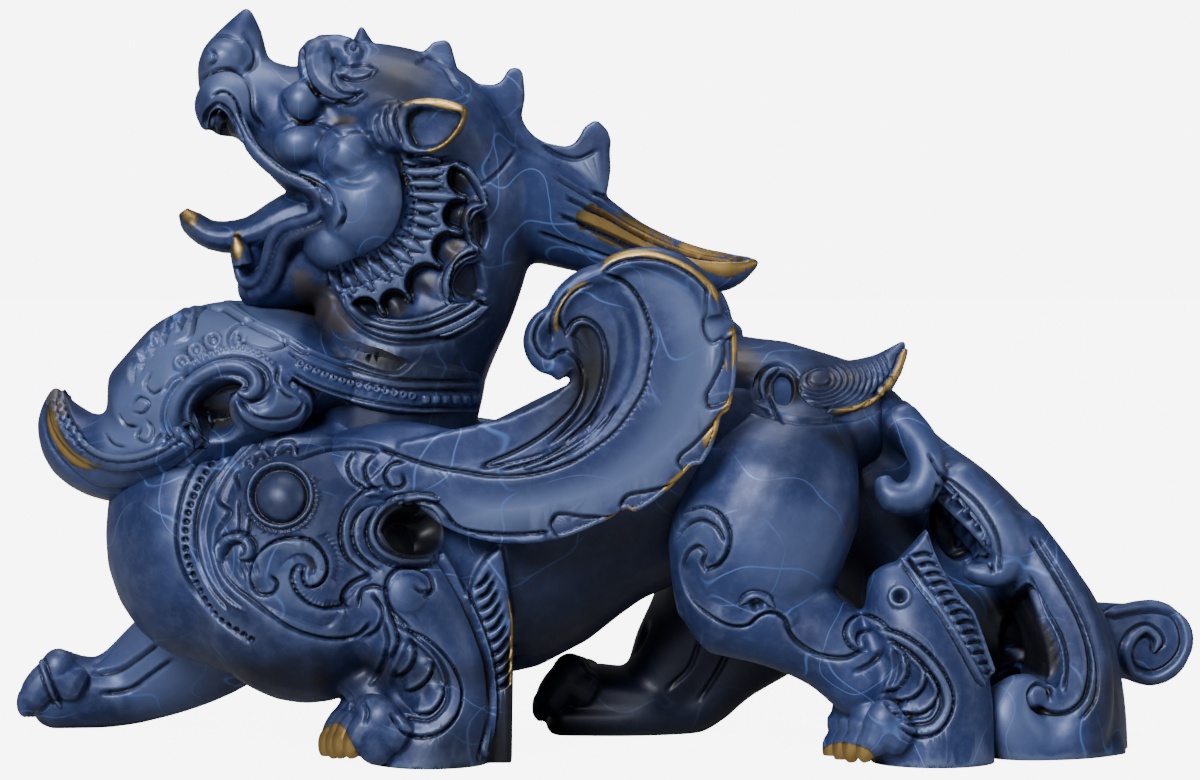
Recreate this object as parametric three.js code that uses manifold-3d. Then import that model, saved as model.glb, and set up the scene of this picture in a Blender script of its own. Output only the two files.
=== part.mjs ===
// A cast brass guardian beast in millimetres, +Z up: head thrown back, mouth open, wings folded, and
// walking towards -X.
// Its side elevation is drawn on a grid of fifths of a millimetre, u to the right and v down, as it looks
// from a point 900 mm out on the -Y side.
// A station on a bar is [u, v, out, radius, breadth]: out is its distance from the middle plane in
// millimetres, and breadth is its half breadth as a share of the radius.
// A corner on an outline or a carved line is [u, v, bulge]: the line bulges by that much to its left on
// its way to the next corner.
import * as THREE from 'three';
import { mergeVertices } from 'three/addons/utils/BufferGeometryUtils.js';
import Module from 'manifold-3d';

// Driving dimensions
const GRID_PER_MM = 5; // on the middle plane
const EYE = { u: 600, v: 165, height: 116, distance: 900 };
const MIDDLE = { x: -0.55, y: -0.14 }; // of the finished box, moved to the origin
const FINISH = { color: 0x24407f, roughness: 0.4, metalness: 0.35 };
const FLOOR = { size: 400, depth: 60 }; // cuts the feet flat
const NEAR = -1;
const FAR = 1;
const TINY = 1e-4;
const LEAST_BULGE = 2; // flatter arcs are drawn as straight lines
const ARC_GRAIN = 40; // the larger, the fewer steps on an arc
const CAP_RISE = 0.6; // how far a bar's blunt end stands out, as a share of its radius
// How the finished surface is thinned: down to so many triangles, closing a share of the edges in each
// pass, where no triangle turns by more than the arc cosine of facing.
const THINNING = {
  triangles: 9900,
  passShare: 1 / 12,
  lengthWeight: 0.002,
  facing: 0.3,
  floorWeight: 1000,
};

// Trunk and neck
const TORSO = [
  [205, 570, 0, 19, 1.35], [300, 566, 0, 25.6, 1.15], [400, 557, 0, 25.4, 1.1], [500, 548, 0, 25, 0.98],
  [590, 498, 0, 22.8, 0.97], [680, 460, 0, 23, 0.97], [770, 430, 0, 18.5, 1.1], [850, 420, 0, 12.5, 1.2],
];
const NECK = [
  [385, 440, 0, 18.5, 1.3], [390, 395, 0, 18, 1.3], [402, 340, 0, 18.5, 1.2], [424, 285, 0, 18.8, 1.1],
  [444, 235, 0, 18, 1.08], [455, 190, 0, 17, 1.05], [446, 150, 0, 14, 1.1],
];
const CHEST = { at: [204, 532, 0], radii: [20, 27, 26] };
const SHOULDER = { at: [306, 560, 15], radii: [25, 22, 28.5] };
const RUMP_WEB = [
  [850, 480, 0, 13, 0.9], [882, 545, -3, 13.5, 0.8], [935, 592, -5, 13, 0.8], [1000, 640, -4, 10, 0.9],
];

// Head, tilted back with its mouth open
const SKULL = [
  [458, 200, 0, 15, 1.1], [428, 150, 0, 17, 1.15], [385, 118, 0, 15.5, 1.2], [345, 101, 0, 12.3, 1.1],
  [308, 100, 0, 8, 1.1],
];
const MUZZLE = [
  [372, 165, 0, 14, 1.15], [314, 135, 0, 12.3, 1.15], [280, 112, 0, 9.8, 1.2], [248, 99, 0, 8.4, 1.25],
  [218, 98, 0, 5, 1.5],
];
const THROAT = [
  [400, 215, 0, 17, 1.1], [350, 245, 0, 13, 1.25], [312, 262, 0, 9.5, 1.45], [272, 284, 0, 5.4, 1.8],
];
const CHIN = [[300, 268, 0, 6, 2], [272, 283, 0, 5.6, 1.9], [248, 288, 0, 3.6, 2]];
const NOSE_LEAF = [
  [240, 100, 0, 7.6, 1.2], [235, 66, 0, 7.5, 1], [243, 35, 0, 4.8, 0.9], [249, 6, 0, 0.9, 0.9],
];
const NOSTRIL = { at: [222, 70, 6.5], radii: [4.8, 4.5, 5] };
const LIP_FLARE = [
  [250, 112, 7, 5.6, 1], [224, 98, 8, 5.6, 1], [207, 106, 7.5, 3, 1.1], [206, 133, 7, 0.8, 1],
];
const GUM = { at: [226, 116, 3.5], radii: [4, 4.5, 4.2] };
const TONGUE = [
  [335, 206, 0, 7, 1.3], [290, 217, 0, 5, 1.8], [250, 234, 0, 3.7, 2.1], [212, 234, 0, 3, 2.1],
  [192, 221, 0, 2.5, 1.8], [183, 210, 0, 1.1, 1.5],
];
const FANG = [[243, 266, 6.5, 1.8, 1], [239, 252, 6.5, 1.5, 1], [235, 238, 6.5, 0.4, 1]];
const LIP = [
  [200, 116, 8.5, 1.6, 1], [203, 92, 9.5, 2, 1], [233, 100, 10.5, 2.1, 1], [250, 130, 12.5, 2, 1],
  [280, 161, 14.5, 2, 1], [309, 184, 16.5, 2, 1], [325, 204, 17, 2, 1], [313, 221, 16.5, 1.9, 1],
  [284, 232, 14, 1.9, 1], [273, 256, 12, 1.9, 1], [264, 280, 10, 1.9, 1], [248, 286, 8, 1.9, 1],
  [237, 264, 6.5, 1.2, 1],
];
const JOWL = [
  [338, 200, 18, 1.6, 1], [331, 228, 17.5, 1.7, 1], [304, 238, 15.5, 1.7, 1], [289, 256, 13.5, 1.7, 1],
  [281, 284, 11.5, 1.8, 1], [260, 304, 6.5, 1.9, 1],
];
const EYEBALL = { at: [302, 100, 9.5], radii: [3.8, 3.4, 3.8] };
const BROW = [
  [324, 45, 6, 2.6, 1], [309, 57, 8, 3.1, 1], [314, 82, 10.5, 3.3, 1], [336, 98, 13, 2.6, 1],
  [365, 92, 14, 0.5, 1],
];
const BROW_LOBE = [
  [320, 48, 6, 2.8, 1], [345, 50, 7, 3, 1], [353, 68, 9.5, 2.4, 1], [338, 79, 11.5, 1.2, 1],
];
const FOREHEAD_SPIKE = [[366, 66, 0, 4.4, 1.2], [363, 44, 0, 2.4, 1], [362, 26, 0, 0.4, 1]];
const CHEEKS = [
  { at: [301, 143, 9], radii: [5.8, 5, 5.2] },
  { at: [349, 151, 13.5], radii: [7.6, 6, 7.2] },
  { at: [372, 193, 14], radii: [9.4, 7.6, 9] },
  { at: [343, 236, 12.5], radii: [9, 6.6, 8.2] },
];
const HEAD_CORE = { at: [372, 200, 0], radii: [14, 19, 16] };
const EAR_STALK = [[372, 132, 13, 3.6, 1], [390, 127, 18.5, 5, 0.8], [412, 126, 21, 4.6, 0.6]];
const EAR = {
  outline: [[403, 103, 8], [473, 107, 20], [407, 150, 4]],
  depth: [19.5, 23.5],
  bevel: 0.8,
  flare: 14,
};
const EAR_HOLLOW = { at: [434, 127, 25.5], radii: [6.2, 4.5, 4.2] };
const RUFF = {
  outline: [
    [405, 170, 0], [455, 163, 9], [486, 207, -14], [479, 249, -17], [450, 303, 3], [489, 306, 42],
    [338, 288, -40],
  ],
  depth: [12, 21],
  bevel: 0.6,
};
const RUFF_ROLLS = [
  { line: [[338, 286, -42], [490, 305, 0]], radius: 2.5, out: 20.5 },
  { line: [[482, 249, 16], [452, 304, 0]], radius: 1.5, out: 21 },
  { line: [[488, 205, 13], [481, 250, 0]], radius: 1.4, out: 21 },
];
const COMB = {
  u: 345,
  v: 195,
  reach: [72, 100],
  from: -10,
  to: 98,
  count: 8,
  out: [22, 20.5],
  radius: 1.4,
};
const PITS = { u: 352, v: 195, reach: 106, from: -6, to: 88, count: 5, out: 23, radius: 3, depth: 4.2 };

// Crest and mane lock along the nape
const CREST = {
  outline: [
    [344, 44, 0], [374, 42, -6], [446, 40, -28], [515, 68, 0], [524, 76, -38], [597, 121, 0],
    [608, 133, 4],
    [602, 205, 0], [540, 230, 0], [430, 130, 0],
  ],
  depth: [-4.6, 4.6],
  bevel: 1.3,
};
const MANE_LOCK = [
  [480, 186, 0, 12, 0.9], [532, 206, 0, 11, 0.9], [580, 228, 0, 8.8, 0.9], [635, 252, 0, 6.2, 1],
  [690, 268, 0, 5, 1], [728, 270, 0, 4, 1], [764, 258, 0, 0.5, 1],
];
const MANE_STRANDS = {
  outer: [[556, 188], [600, 202], [640, 229]],
  inner: [[540, 232], [572, 243], [600, 251]],
  count: 4,
  radius: 1.1,
};

// Breast plate with its curled tip, its scrolls and the band round the neck
const BREAST_PLATE = [
  [360, 385, 0, 10, 2.5], [290, 376, 0, 15.2, 1.95], [230, 389, 0, 18, 1.6], [185, 399, 0, 17, 1.5],
  [150, 410, 0, 13, 1.6],
];
const PLATE_LIP = [
  [215, 425, 0, 11, 2.2], [160, 448, 0, 9.6, 2.4], [112, 456, 0, 9, 2], [77, 443, 0, 7.6, 1.6],
  [59, 414, 0, 4.8, 1.6],
  [54, 385, 0, 0.6, 2],
];

// Shoulder ornament
const MEDALLION = { u: 278, v: 495, dome: 4.8, flatness: 0.5, ring: 6.6, wire: 1 };
const SOCKET = { at: [408, 531, 37], radii: [6.5, 5.5, 4] };

// Wings
const WING = {
  outline: [
    [400, 442, 0], [490, 421, -7], [574, 378, -6], [541, 367, 19], [549, 310, 9], [602, 263, 38],
    [724, 311, 0],
    [736, 320, 5], [731, 409, 0], [722, 413, 4], [703, 464, 0], [694, 463, 4], [636, 512, 0],
    [629, 506, 2],
    [586, 529, 17], [440, 524, 0], [400, 490, 0],
  ],
  depth: [27, 32],
  bevel: 1.2,
  flare: 4,
};
const WING_RIM = {
  line: [[568, 374, -4], [546, 361, 15], [556, 314, 9], [605, 272, 35], [716, 315, 0]],
  radius: 2.2,
  out: 31.4,
};
const WING_HOLLOW = { at: [578, 338, 33], radii: [3.4, 4, 6.4] };
const FAR_WING_SHIFT = { back: 3.5, down: 3.5 };
const WING_ROOT = [
  [370, 482, 22, 10, 1], [430, 482, 26, 8.6, 0.7], [500, 482, 27, 7.2, 0.55], [575, 462, 28, 5.5, 0.45],
];
const QUILLS = {
  outer: [[606, 272], [650, 318], [645, 382], [598, 437], [480, 476]],
  inner: [[570, 336], [586, 358], [580, 392], [552, 424], [480, 466]],
  count: 4,
  radius: 1.1,
};

// Legs
const FORELEG_NEAR = [
  [365, 545, 20, 16, 1], [392, 595, 24, 14, 0.9], [425, 645, 27, 11.3, 0.9], [440, 705, 28, 10.3, 0.95],
  [428, 772, 28, 11.4, 1],
];
const LEG_FIN = {
  outline: [[470, 592, 6], [501, 547, 0], [513, 622, 0], [511, 770, 0], [476, 770, 0], [480, 680, 0]],
  depth: [22, 30],
  bevel: 1.6,
};
const FORELEG_FAR = [
  [240, 600, 14, 16, 1.1], [195, 643, 22, 13, 0.9], [148, 673, 27, 10.2, 0.9], [112, 690, 28, 8, 1.1],
  [46, 703, 28, 5.6, 1.8],
];
const THIGH = [
  [840, 425, 10, 12, 0.9], [797, 463, 17, 15.5, 0.9], [770, 518, 19, 18.5, 0.85], [744, 572, 21, 17, 0.8],
  [734, 606, 21, 13, 0.8],
];
const SHANK_NEAR = [
  [725, 600, 21, 11, 1], [780, 619, 22, 9.8, 0.95], [835, 649, 24, 8.8, 0.95], [872, 690, 26, 7.5, 1],
];
const HOCK_NEAR = [
  [893, 580, 24, 5.6, 1], [912, 628, 26, 9.3, 0.85], [932, 680, 27, 11.6, 0.8], [936, 772, 27, 12, 0.9],
];
const HOCK_FIN = {
  outline: [[880, 585, 0], [929, 530, -7], [977, 612, 0], [999, 674, 0], [950, 690, 0]],
  depth: [21, 28],
  bevel: 1.6,
};
const CALVES = [
  { u: 402, v: 684, radius: 50, from: -64, to: 62 },
  { u: 893, v: 690, radius: 52, from: -68, to: 56 },
];
const CALF_RIB = { count: 4, step: 12, points: 5, radius: 1.2 };
const HINDLEG_FAR = [
  [735, 560, 14, 15, 1], [712, 615, 18, 13, 0.9], [678, 662, 20, 10.5, 0.9], [650, 704, 20, 6.5, 1.2],
];
const HEEL_FAR = [
  [765, 632, 16, 10.5, 1], [726, 672, 18, 7.5, 1], [696, 708, 20, 5.4, 1.4], [640, 716, 20, 5, 2.2],
  [558, 716, 20, 4.6, 2.5],
];
const PAWS = [
  {
    side: NEAR,
    out: 28,
    line: [[440, 738, 9], [396, 737, 7.6], [360, 735, 6.6], [336, 743, 5.6], [322, 757, 2.4]],
  },
  {
    side: NEAR,
    out: 27,
    line: [[930, 738, 9], [893, 730, 7.6], [862, 731, 6.8], [846, 745, 5.2], [836, 761, 2.4]],
  },
  {
    side: FAR,
    out: 28,
    line: [[125, 692, 7], [92, 688, 6.6], [64, 671, 7], [38, 689, 6.4], [20, 713, 3]],
  },
  {
    side: FAR,
    out: 20,
    line: [[655, 702, 7], [614, 690, 7.4], [580, 676, 7], [553, 693, 6.4], [537, 719, 3]],
  },
];
// Shares of a toe's depth round a quarter of the paw, 30 degrees apart.
const TOES = { breadth: 12.4, tipShare: 0.78, sides: 12, shares: [1, 1.5, 0.68, 1] };

// Rump cape and tail
const CAPE = [
  [722, 380, 0, 9.8, 1.8], [785, 378, 0, 7.2, 2.2], [838, 386, 0, 5.4, 2.5], [878, 374, 0, 4.4, 2.1],
  [905, 340, 0, 0.5, 1],
];
const CAPE_EYE = { u: 818, v: 376, radii: [3.4, 2.4], rise: 2, wire: 0.8 };
const TAIL = [
  [868, 418, 0, 8, 1.2], [924, 461, 0, 6, 1.6], [967, 498, 0, 7, 1.9], [1022, 563, 0, 8, 2],
  [1062, 630, 0, 9.4, 1.95], [1077, 696, 0, 9.8, 1.9], [1080, 775, 0, 10.2, 1.9],
];
const TAIL_LOCKS = [
  {
    steps: 9,
    stations: [
      [896, 432, 8, 4.2, 1], [932, 456, 12, 5, 1], [930, 488, 15, 5, 1], [900, 496, 16, 4.2, 1],
      [883, 470, 14, 2.2, 1],
    ],
  },
  {
    steps: 9,
    stations: [
      [950, 470, 9, 5, 1], [1000, 522, 13, 5.4, 1], [1018, 562, 15, 4.8, 1], [990, 584, 16, 3.8, 1],
      [968, 562, 15, 2, 1],
    ],
  },
  {
    steps: 14,
    stations: [
      [1016, 534, 11, 6, 1], [1060, 600, 15, 6.4, 1], [1082, 670, 17, 6.6, 1], [1074, 735, 18, 7, 1],
      [1036, 754, 19, 7.4, 1], [1010, 718, 20, 6.8, 1], [1030, 690, 20, 3.6, 1], [1049, 702, 20, 1.6, 1],
    ],
  },
];
const TAIL_FOOT = [[1012, 745, 17, 6, 1.2], [1060, 756, 13, 6.8, 1.7], [1094, 754, 8, 6.4, 1.6]];
const FAR_CURL = {
  at: [1152, 645, 14],
  radii: [8.8, 4.5, 8.8],
  stem: [[1085, 640, 9, 8, 0.9], [1140, 642, 14, 8, 0.5]],
};

// Carved lines that both sides have, and those of the legs and curls that only one side has
const PAIRED_LINES = [
  { radius: 1.5, line: [[56, 436, -42], [200, 432, 0]] }, // rim of the breast plate
  // its scroll
  { radius: 2, line: [[197, 431, 9], [178, 388, 14], [232, 363, 12], [262, 388, 4], [249, 397, 0]] },
  { radius: 2, line: [[234, 396, -14], [290, 414, -7], [300, 384, 0]] },
  { radius: 1.2, line: [[272, 330, -8], [372, 374, -3], [474, 384, 0]] }, // neck band
  { radius: 1.2, line: [[306, 390, -5], [400, 414, -2], [470, 421, 0]] },
  { radius: 1.2, line: [[246, 436, -60], [250, 640, 0]] }, // beaded hem of the shoulder
  { radius: 1.2, line: [[258, 444, -22], [216, 545, -22], [290, 632, -4], [366, 626, 0]] },
  // cloud
  { radius: 1.3, line: [[258, 588, 10], [256, 560, 18], [318, 556, 10], [308, 584, 6], [300, 566, 0]] },
  { radius: 1.3, line: [[440, 508, -18], [382, 520, -24], [430, 562, 0]] }, // rings round the wing socket
  { radius: 1.3, line: [[398, 478, -16], [362, 530, -10], [382, 600, 0]] },
  { radius: 1.1, line: [[710, 334, 4], [708, 396, 0]] }, // hems of the wing's feathers
  { radius: 1.1, line: [[700, 424, 4], [682, 458, 0]] },
  { radius: 1.1, line: [[672, 474, 4], [622, 504, 0]] },
  { radius: 1.1, line: [[606, 514, 14], [452, 520, 0]] },
  { radius: 1.6, line: [[680, 540, 21], [728, 538, 10], [706, 570, 0]] }, // knee
  { radius: 1.2, line: [[703, 566, -9], [685, 560, -10], [700, 602, -8], [752, 624, 6], [786, 622, 0]] },
  { radius: 1.2, line: [[894, 362, 20], [838, 404, 10], [803, 380, 0]] }, // hem of the rump cape
  { radius: 1.2, line: [[958, 498, 10], [998, 564, 0]] }, // tail
  { radius: 1.2, line: [[1030, 540, 14], [1076, 700, 0]] },
  { radius: 1.2, line: [[1028, 584, 10], [1056, 690, 0]] },
];
const SINGLE_LINES = [
  // near knee
  { radius: 1.3, line: [[438, 614, 0], [404, 604, 12], [402, 571, 14], [432, 590, 6], [419, 591, 0]] },
  { radius: 1.3, line: [[908, 636, 8], [874, 606, 16], [900, 588, 0]] }, // near hock
  { radius: 1.3, line: [[780, 660, -6], [836, 662, -14], [860, 630, -8], [846, 622, 0]] },
  // far curl
  {
    radius: 1.2,
    line: [[1126, 664, 12], [1176, 660, 14], [1156, 620, 12], [1134, 644, 8], [1156, 652, 0]],
  },
];

const wasm = await Module();
wasm.setup();

// The point that grid square (u, v) covers at a distance y from the middle plane.
function at(u, v, y) {
  const scale = (GRID_PER_MM * EYE.distance) / (EYE.distance + y);
  return new THREE.Vector3((u - EYE.u) / scale, y, EYE.height - (v - EYE.v) / scale);
}

// A closed geometry as a solid, whichever way its faces were wound.
function solid(geometry) {
  const bare = new THREE.BufferGeometry();
  bare.setAttribute('position', geometry.getAttribute('position').clone());
  bare.setIndex(geometry.index ? geometry.index.clone() : null);
  const merged = mergeVertices(bare, TINY);
  const triangles = new Uint32Array(merged.index.array);
  const shape = (triVerts) => new wasm.Manifold(
    new wasm.Mesh({ numProp: 3, vertProperties: merged.attributes.position.array, triVerts }),
  );
  const made = shape(triangles);
  if (made.volume() > 0) return made;
  return shape(triangles.map((_, i) => triangles[i - (i % 3) + [0, 2, 1][i % 3]]));
}

// A solid as a three.js geometry.
function geometryOf(made) {
  const { numProp, vertProperties, triVerts, numVert } = made.getMesh();
  const points = new Float32Array(numVert * 3);
  for (let i = 0; i < numVert; i += 1) {
    const start = i * numProp;
    points.set(vertProperties.subarray(start, start + 3), i * 3);
  }
  return new THREE.BufferGeometry()
    .setAttribute('position', new THREE.BufferAttribute(points, 3))
    .setIndex(new THREE.BufferAttribute(triVerts, 1));
}

// The squared distances from a triangle's plane to any point, as the ten sums of a quadric, weighted by
// its area.
function quadric(a, b, c) {
  const normal = new THREE.Vector3().crossVectors(b.clone().sub(a), c.clone().sub(a));
  const area = normal.length() / 2;
  const sums = new Float64Array(10);
  if (area < TINY) return sums;
  normal.normalize();
  const { x, y, z } = normal;
  const w = -normal.dot(a);
  const isFloor = 1 - Math.abs(z) < TINY && Math.abs(a.z) < TINY;
  const weight = isFloor ? area * THINNING.floorWeight : area;
  sums.set([x * x, x * y, x * z, x * w, y * y, y * z, y * w, z * z, z * w, w * w]);
  return sums.map((sum) => sum * weight);
}

function quadricError(q, { x, y, z }) {
  return x * x * q[0] + 2 * x * (y * q[1] + z * q[2] + q[3]) + y * y * q[4] + 2 * y * (z * q[5] + q[6])
    + z * z * q[7] + 2 * z * q[8] + q[9];
}

// A geometry as a net: its points, its triangles, the fan of triangles round each point, and each point's
// quadric.
function netOf(geometry) {
  const places = geometry.getAttribute('position');
  const index = [...geometry.index.array];
  const pointAt = (_, i) => new THREE.Vector3().fromBufferAttribute(places, i);
  const points = Array.from({ length: places.count }, pointAt);
  const triangles = Array.from({ length: index.length / 3 }, (_, i) => index.slice(3 * i, 3 * i + 3));
  const quadrics = points.map(() => new Float64Array(10));
  const fans = points.map(() => new Set());
  triangles.forEach((triangle, i) => {
    const sums = quadric(...triangle.map((corner) => points[corner]));
    triangle.forEach((corner) => {
      fans[corner].add(i);
      addTo(quadrics[corner], sums);
    });
  });
  return { points, triangles, quadrics, fans };
}

function addTo(sums, more) {
  more.forEach((sum, k) => {
    sums[k] += sum;
  });
}

// The points next to a point of the net.
function ringOf({ triangles, fans }, corner) {
  return new Set([...fans[corner]].flatMap((i) => triangles[i]).filter((other) => other !== corner));
}

function normalOf([a, b, c]) {
  return new THREE.Vector3().crossVectors(b.clone().sub(a), c.clone().sub(a));
}

// Whether the triangles round one point still face their way when that point is drawn to another.
function keepsFacing({ points, triangles, fans }, gone, kept) {
  const moved = [...fans[gone]].map((i) => triangles[i]).filter((triangle) => !triangle.includes(kept));
  return moved.every((triangle) => {
    const before = normalOf(triangle.map((corner) => points[corner]));
    const after = normalOf(triangle.map((corner) => points[corner === gone ? kept : corner]));
    if (after.length() < TINY) return false;
    return before.length() < TINY || before.normalize().dot(after.normalize()) > THINNING.facing;
  });
}

// Every edge both ways round, those first that cost least to close.
function rankedEdges(net) {
  const { points, quadrics, fans } = net;
  const edges = fans.flatMap((fan, gone) => [...ringOf(net, gone)].map((kept) => {
    const length = points[gone].distanceTo(points[kept]);
    const cost = quadricError(quadrics[gone], points[kept]) + THINNING.lengthWeight * length * length;
    return { gone, kept, cost };
  }));
  return edges.sort((one, other) => one.cost - other.cost);
}

// Draws one point into another, and takes out the two triangles between them.
function drawTogether({ triangles, quadrics, fans }, gone, kept) {
  fans[gone].forEach((i) => {
    if (triangles[i].includes(kept)) {
      triangles[i].filter((corner) => corner !== gone).forEach((corner) => fans[corner].delete(i));
      triangles[i] = null;
    } else {
      triangles[i] = triangles[i].map((corner) => (corner === gone ? kept : corner));
      fans[kept].add(i);
    }
  });
  fans[gone].clear();
  addTo(quadrics[kept], quadrics[gone]);
}

// Closes edges, over and over, where that moves the surface least, until few triangles are left.
function thin(geometry) {
  const net = netOf(geometry);
  let left = net.triangles.length;
  let before = Infinity;
  while (left > THINNING.triangles && left < before) {
    before = left;
    const settled = new Set();
    const edges = rankedEdges(net);
    edges.slice(0, Math.ceil(edges.length * THINNING.passShare)).forEach(({ gone, kept }) => {
      if (left <= THINNING.triangles || settled.has(gone) || settled.has(kept)) return;
      const [goneRing, keptRing] = [ringOf(net, gone), ringOf(net, kept)];
      const shared = [...goneRing].filter((corner) => keptRing.has(corner));
      if (shared.length !== 2 || !keepsFacing(net, gone, kept)) return;
      drawTogether(net, gone, kept);
      left -= 2;
      [gone, kept, ...goneRing, ...keptRing].forEach((corner) => settled.add(corner));
    });
  }
  geometry.setIndex(net.triangles.filter(Boolean).flat());
  return mergeVertices(geometry.toNonIndexed(), TINY);
}

// A geometry's two solids: as it lies, and mirrored in the middle plane.
function pair(geometry) {
  return [solid(geometry), solid(geometry.clone().scale(1, -1, 1))];
}

// The points of a line that runs through its corners in circular arcs.
function arcs(corners, steps, closed = false) {
  const last = closed ? corners.length : corners.length - 1;
  const points = [];
  for (let i = 0; i < last; i += 1) {
    const [u, v, bulge] = corners[i];
    const [nextU, nextV] = corners[(i + 1) % corners.length];
    const [du, dv] = [nextU - u, nextV - v];
    const chord = Math.hypot(du, dv);
    const rise = Math.abs(bulge);
    const grains = Math.round((steps * Math.sqrt(rise * chord)) / ARC_GRAIN);
    const count = rise > LEAST_BULGE ? Math.max(2, grains) : 1;
    const half = 2 * Math.atan((2 * bulge) / chord); // half the angle that the arc turns through
    for (let k = 0; k < count; k += 1) {
      const t = k / count;
      const turn = half * (2 * t - 1);
      const along = rise < TINY ? t : 0.5 + (0.5 * Math.sin(turn)) / Math.sin(half);
      const aside = rise < TINY ? 0 : (0.5 * (Math.cos(turn) - Math.cos(half))) / Math.sin(half);
      points.push([u + du * along + dv * aside, v + dv * along - du * aside]);
    }
  }
  if (!closed) points.push(corners[corners.length - 1].slice(0, 2));
  return points;
}

// A limb, lock or bead of metal: a bar along a smooth line of stations, with blunt ends.
// Lobes, where given, deepen or flatten the section at each step round a quarter of it.
function bar(stations, side, sides, steps = stations.length - 1, lobes = [1]) {
  const line = new THREE.CatmullRomCurve3(stations.map(([u, v, out]) => at(u, v, side * out)));
  const sizes = new THREE.CatmullRomCurve3(stations.map(([, , , radius, breadth]) => (
    new THREE.Vector3(radius, breadth, 0)
  )));
  const geometry = new THREE.CylinderGeometry(1, 1, 1, sides, steps);
  const places = geometry.getAttribute('position');
  const across = new THREE.Vector3(0, 1, 0);
  for (let i = 0; i < places.count; i += 1) {
    const t = 0.5 - places.getY(i);
    const [deepShare, broadShare] = [places.getX(i), places.getZ(i)];
    const along = line.getTangent(t);
    const broad = across.clone().addScaledVector(along, -along.y).normalize();
    const deep = new THREE.Vector3().crossVectors(along, broad);
    const { x: radius, y: breadth } = sizes.getPoint(t);
    const place = line.getPoint(t);
    const isCapCentre = Math.hypot(deepShare, broadShare) < TINY;
    if (isCapCentre) place.addScaledVector(along, Math.sign(t - 0.5) * CAP_RISE * radius);
    const quarter = Math.round((Math.asin(Math.min(1, Math.abs(deepShare))) * sides) / (2 * Math.PI));
    const lobe = lobes[Math.min(quarter, lobes.length - 1)];
    place.addScaledVector(deep, radius * deepShare * lobe);
    place.addScaledVector(broad, radius * breadth * broadShare);
    places.setXYZ(i, place.x, place.y, place.z);
  }
  return geometry;
}

// An egg-shaped swelling.
function swelling({ at: [u, v, out], radii }, side, around, down) {
  const place = at(u, v, side * out);
  return new THREE.SphereGeometry(1, around, down).rotateX(Math.PI / 2).scale(...radii)
    .translate(place.x, place.y, place.z);
}

// A plate cut to an outline, with its outer face at the greater depth.
function plate({ outline, depth: [inner, outer], bevel }, side, steps = 3) {
  const shape = new THREE.Shape(arcs(outline, steps, true).map(([u, v]) => {
    const place = at(u, v, side * outer);
    return new THREE.Vector2(place.x, place.z);
  }));
  const geometry = new THREE.ExtrudeGeometry(shape, {
    depth: outer - inner - 2 * bevel,
    bevelThickness: bevel,
    bevelSize: bevel,
    bevelOffset: -bevel,
    bevelSegments: 1,
  });
  return geometry.rotateX(Math.PI / 2).translate(0, (side > 0 ? outer : -inner) - bevel, 0);
}

// A near-side form turned about an upright line through a plate's first corner, so that its end stands
// away.
function flared(geometry, { outline: [[u, v]], depth: [inner], flare }) {
  const hinge = at(u, v, -inner);
  return geometry.translate(-hinge.x, -hinge.y, 0).rotateZ(-THREE.MathUtils.degToRad(flare))
    .translate(hinge.x, hinge.y, 0);
}

function join(solids) {
  return solids.reduce((whole, next) => whole.add(next));
}

// Each paw is one broad roll, rounded off in front, whose section swells into three toes.
function paws() {
  return PAWS.map(({ side, out, line }) => {
    const stations = line.map(([u, v, radius], i) => {
      const breadth = i < line.length - 1 ? TOES.breadth : TOES.breadth * TOES.tipShare;
      return [u, v, out, radius, breadth / radius];
    });
    return solid(bar(stations, side, TOES.sides, stations.length - 1, TOES.shares));
  });
}

// Both wings: the far one is set a little lower and further back.
function wings() {
  const stations = arcs(WING_RIM.line, 5).map(([u, v]) => [u, v, WING_RIM.out, WING_RIM.radius, 1]);
  const flat = [plate(WING, NEAR, 5), bar(stations, NEAR, 6)];
  const nearParts = flat.map((geometry) => flared(geometry, WING));
  const farParts = nearParts.map((geometry) => geometry.clone().scale(1, -1, 1)
    .translate(FAR_WING_SHIFT.back, 0, -FAR_WING_SHIFT.down));
  return [...[...nearParts, ...farParts].map(solid), ...pair(bar(WING_ROOT, NEAR, 8))];
}

// The large forms that the carving lies on.
function masses() {
  return join([...trunk(), ...head(), ...wings(), ...legs(), ...rump()]);
}

function middle(stations, sides, steps) {
  return solid(bar(stations, NEAR, sides, steps));
}

function trunk() {
  return [
    middle(TORSO, 14), middle(NECK, 12), solid(swelling(CHEST, NEAR, 14, 9)),
    ...pair(swelling(SHOULDER, NEAR, 14, 10)), middle(BREAST_PLATE, 14), middle(PLATE_LIP, 12, 8),
  ];
}

function head() {
  return [
    middle(SKULL, 12), middle(MUZZLE, 12), middle(THROAT, 10), middle(CHIN, 8), middle(NOSE_LEAF, 8),
    middle(TONGUE, 8), solid(swelling(HEAD_CORE, NEAR, 8, 6)), ...pair(swelling(NOSTRIL, NEAR, 8, 6)),
    ...pair(bar(LIP_FLARE, NEAR, 7)), ...pair(swelling(GUM, NEAR, 6, 4)),
    ...CHEEKS.flatMap((cheek) => pair(swelling(cheek, NEAR, 10, 7))),
    solid(plate(CREST, NEAR, 5)), middle(MANE_LOCK, 10), ...pair(plate(RUFF, NEAR, 4)),
  ];
}

function legs() {
  return [
    middle(FORELEG_NEAR, 12, 6), solid(bar(FORELEG_FAR, FAR, 10, 6)), ...pair(bar(THIGH, NEAR, 14, 6)),
    middle(SHANK_NEAR, 10), middle(HOCK_NEAR, 10, 5), solid(bar(HINDLEG_FAR, FAR, 10)),
    solid(bar(HEEL_FAR, FAR, 8)), ...paws(),
  ];
}

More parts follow.
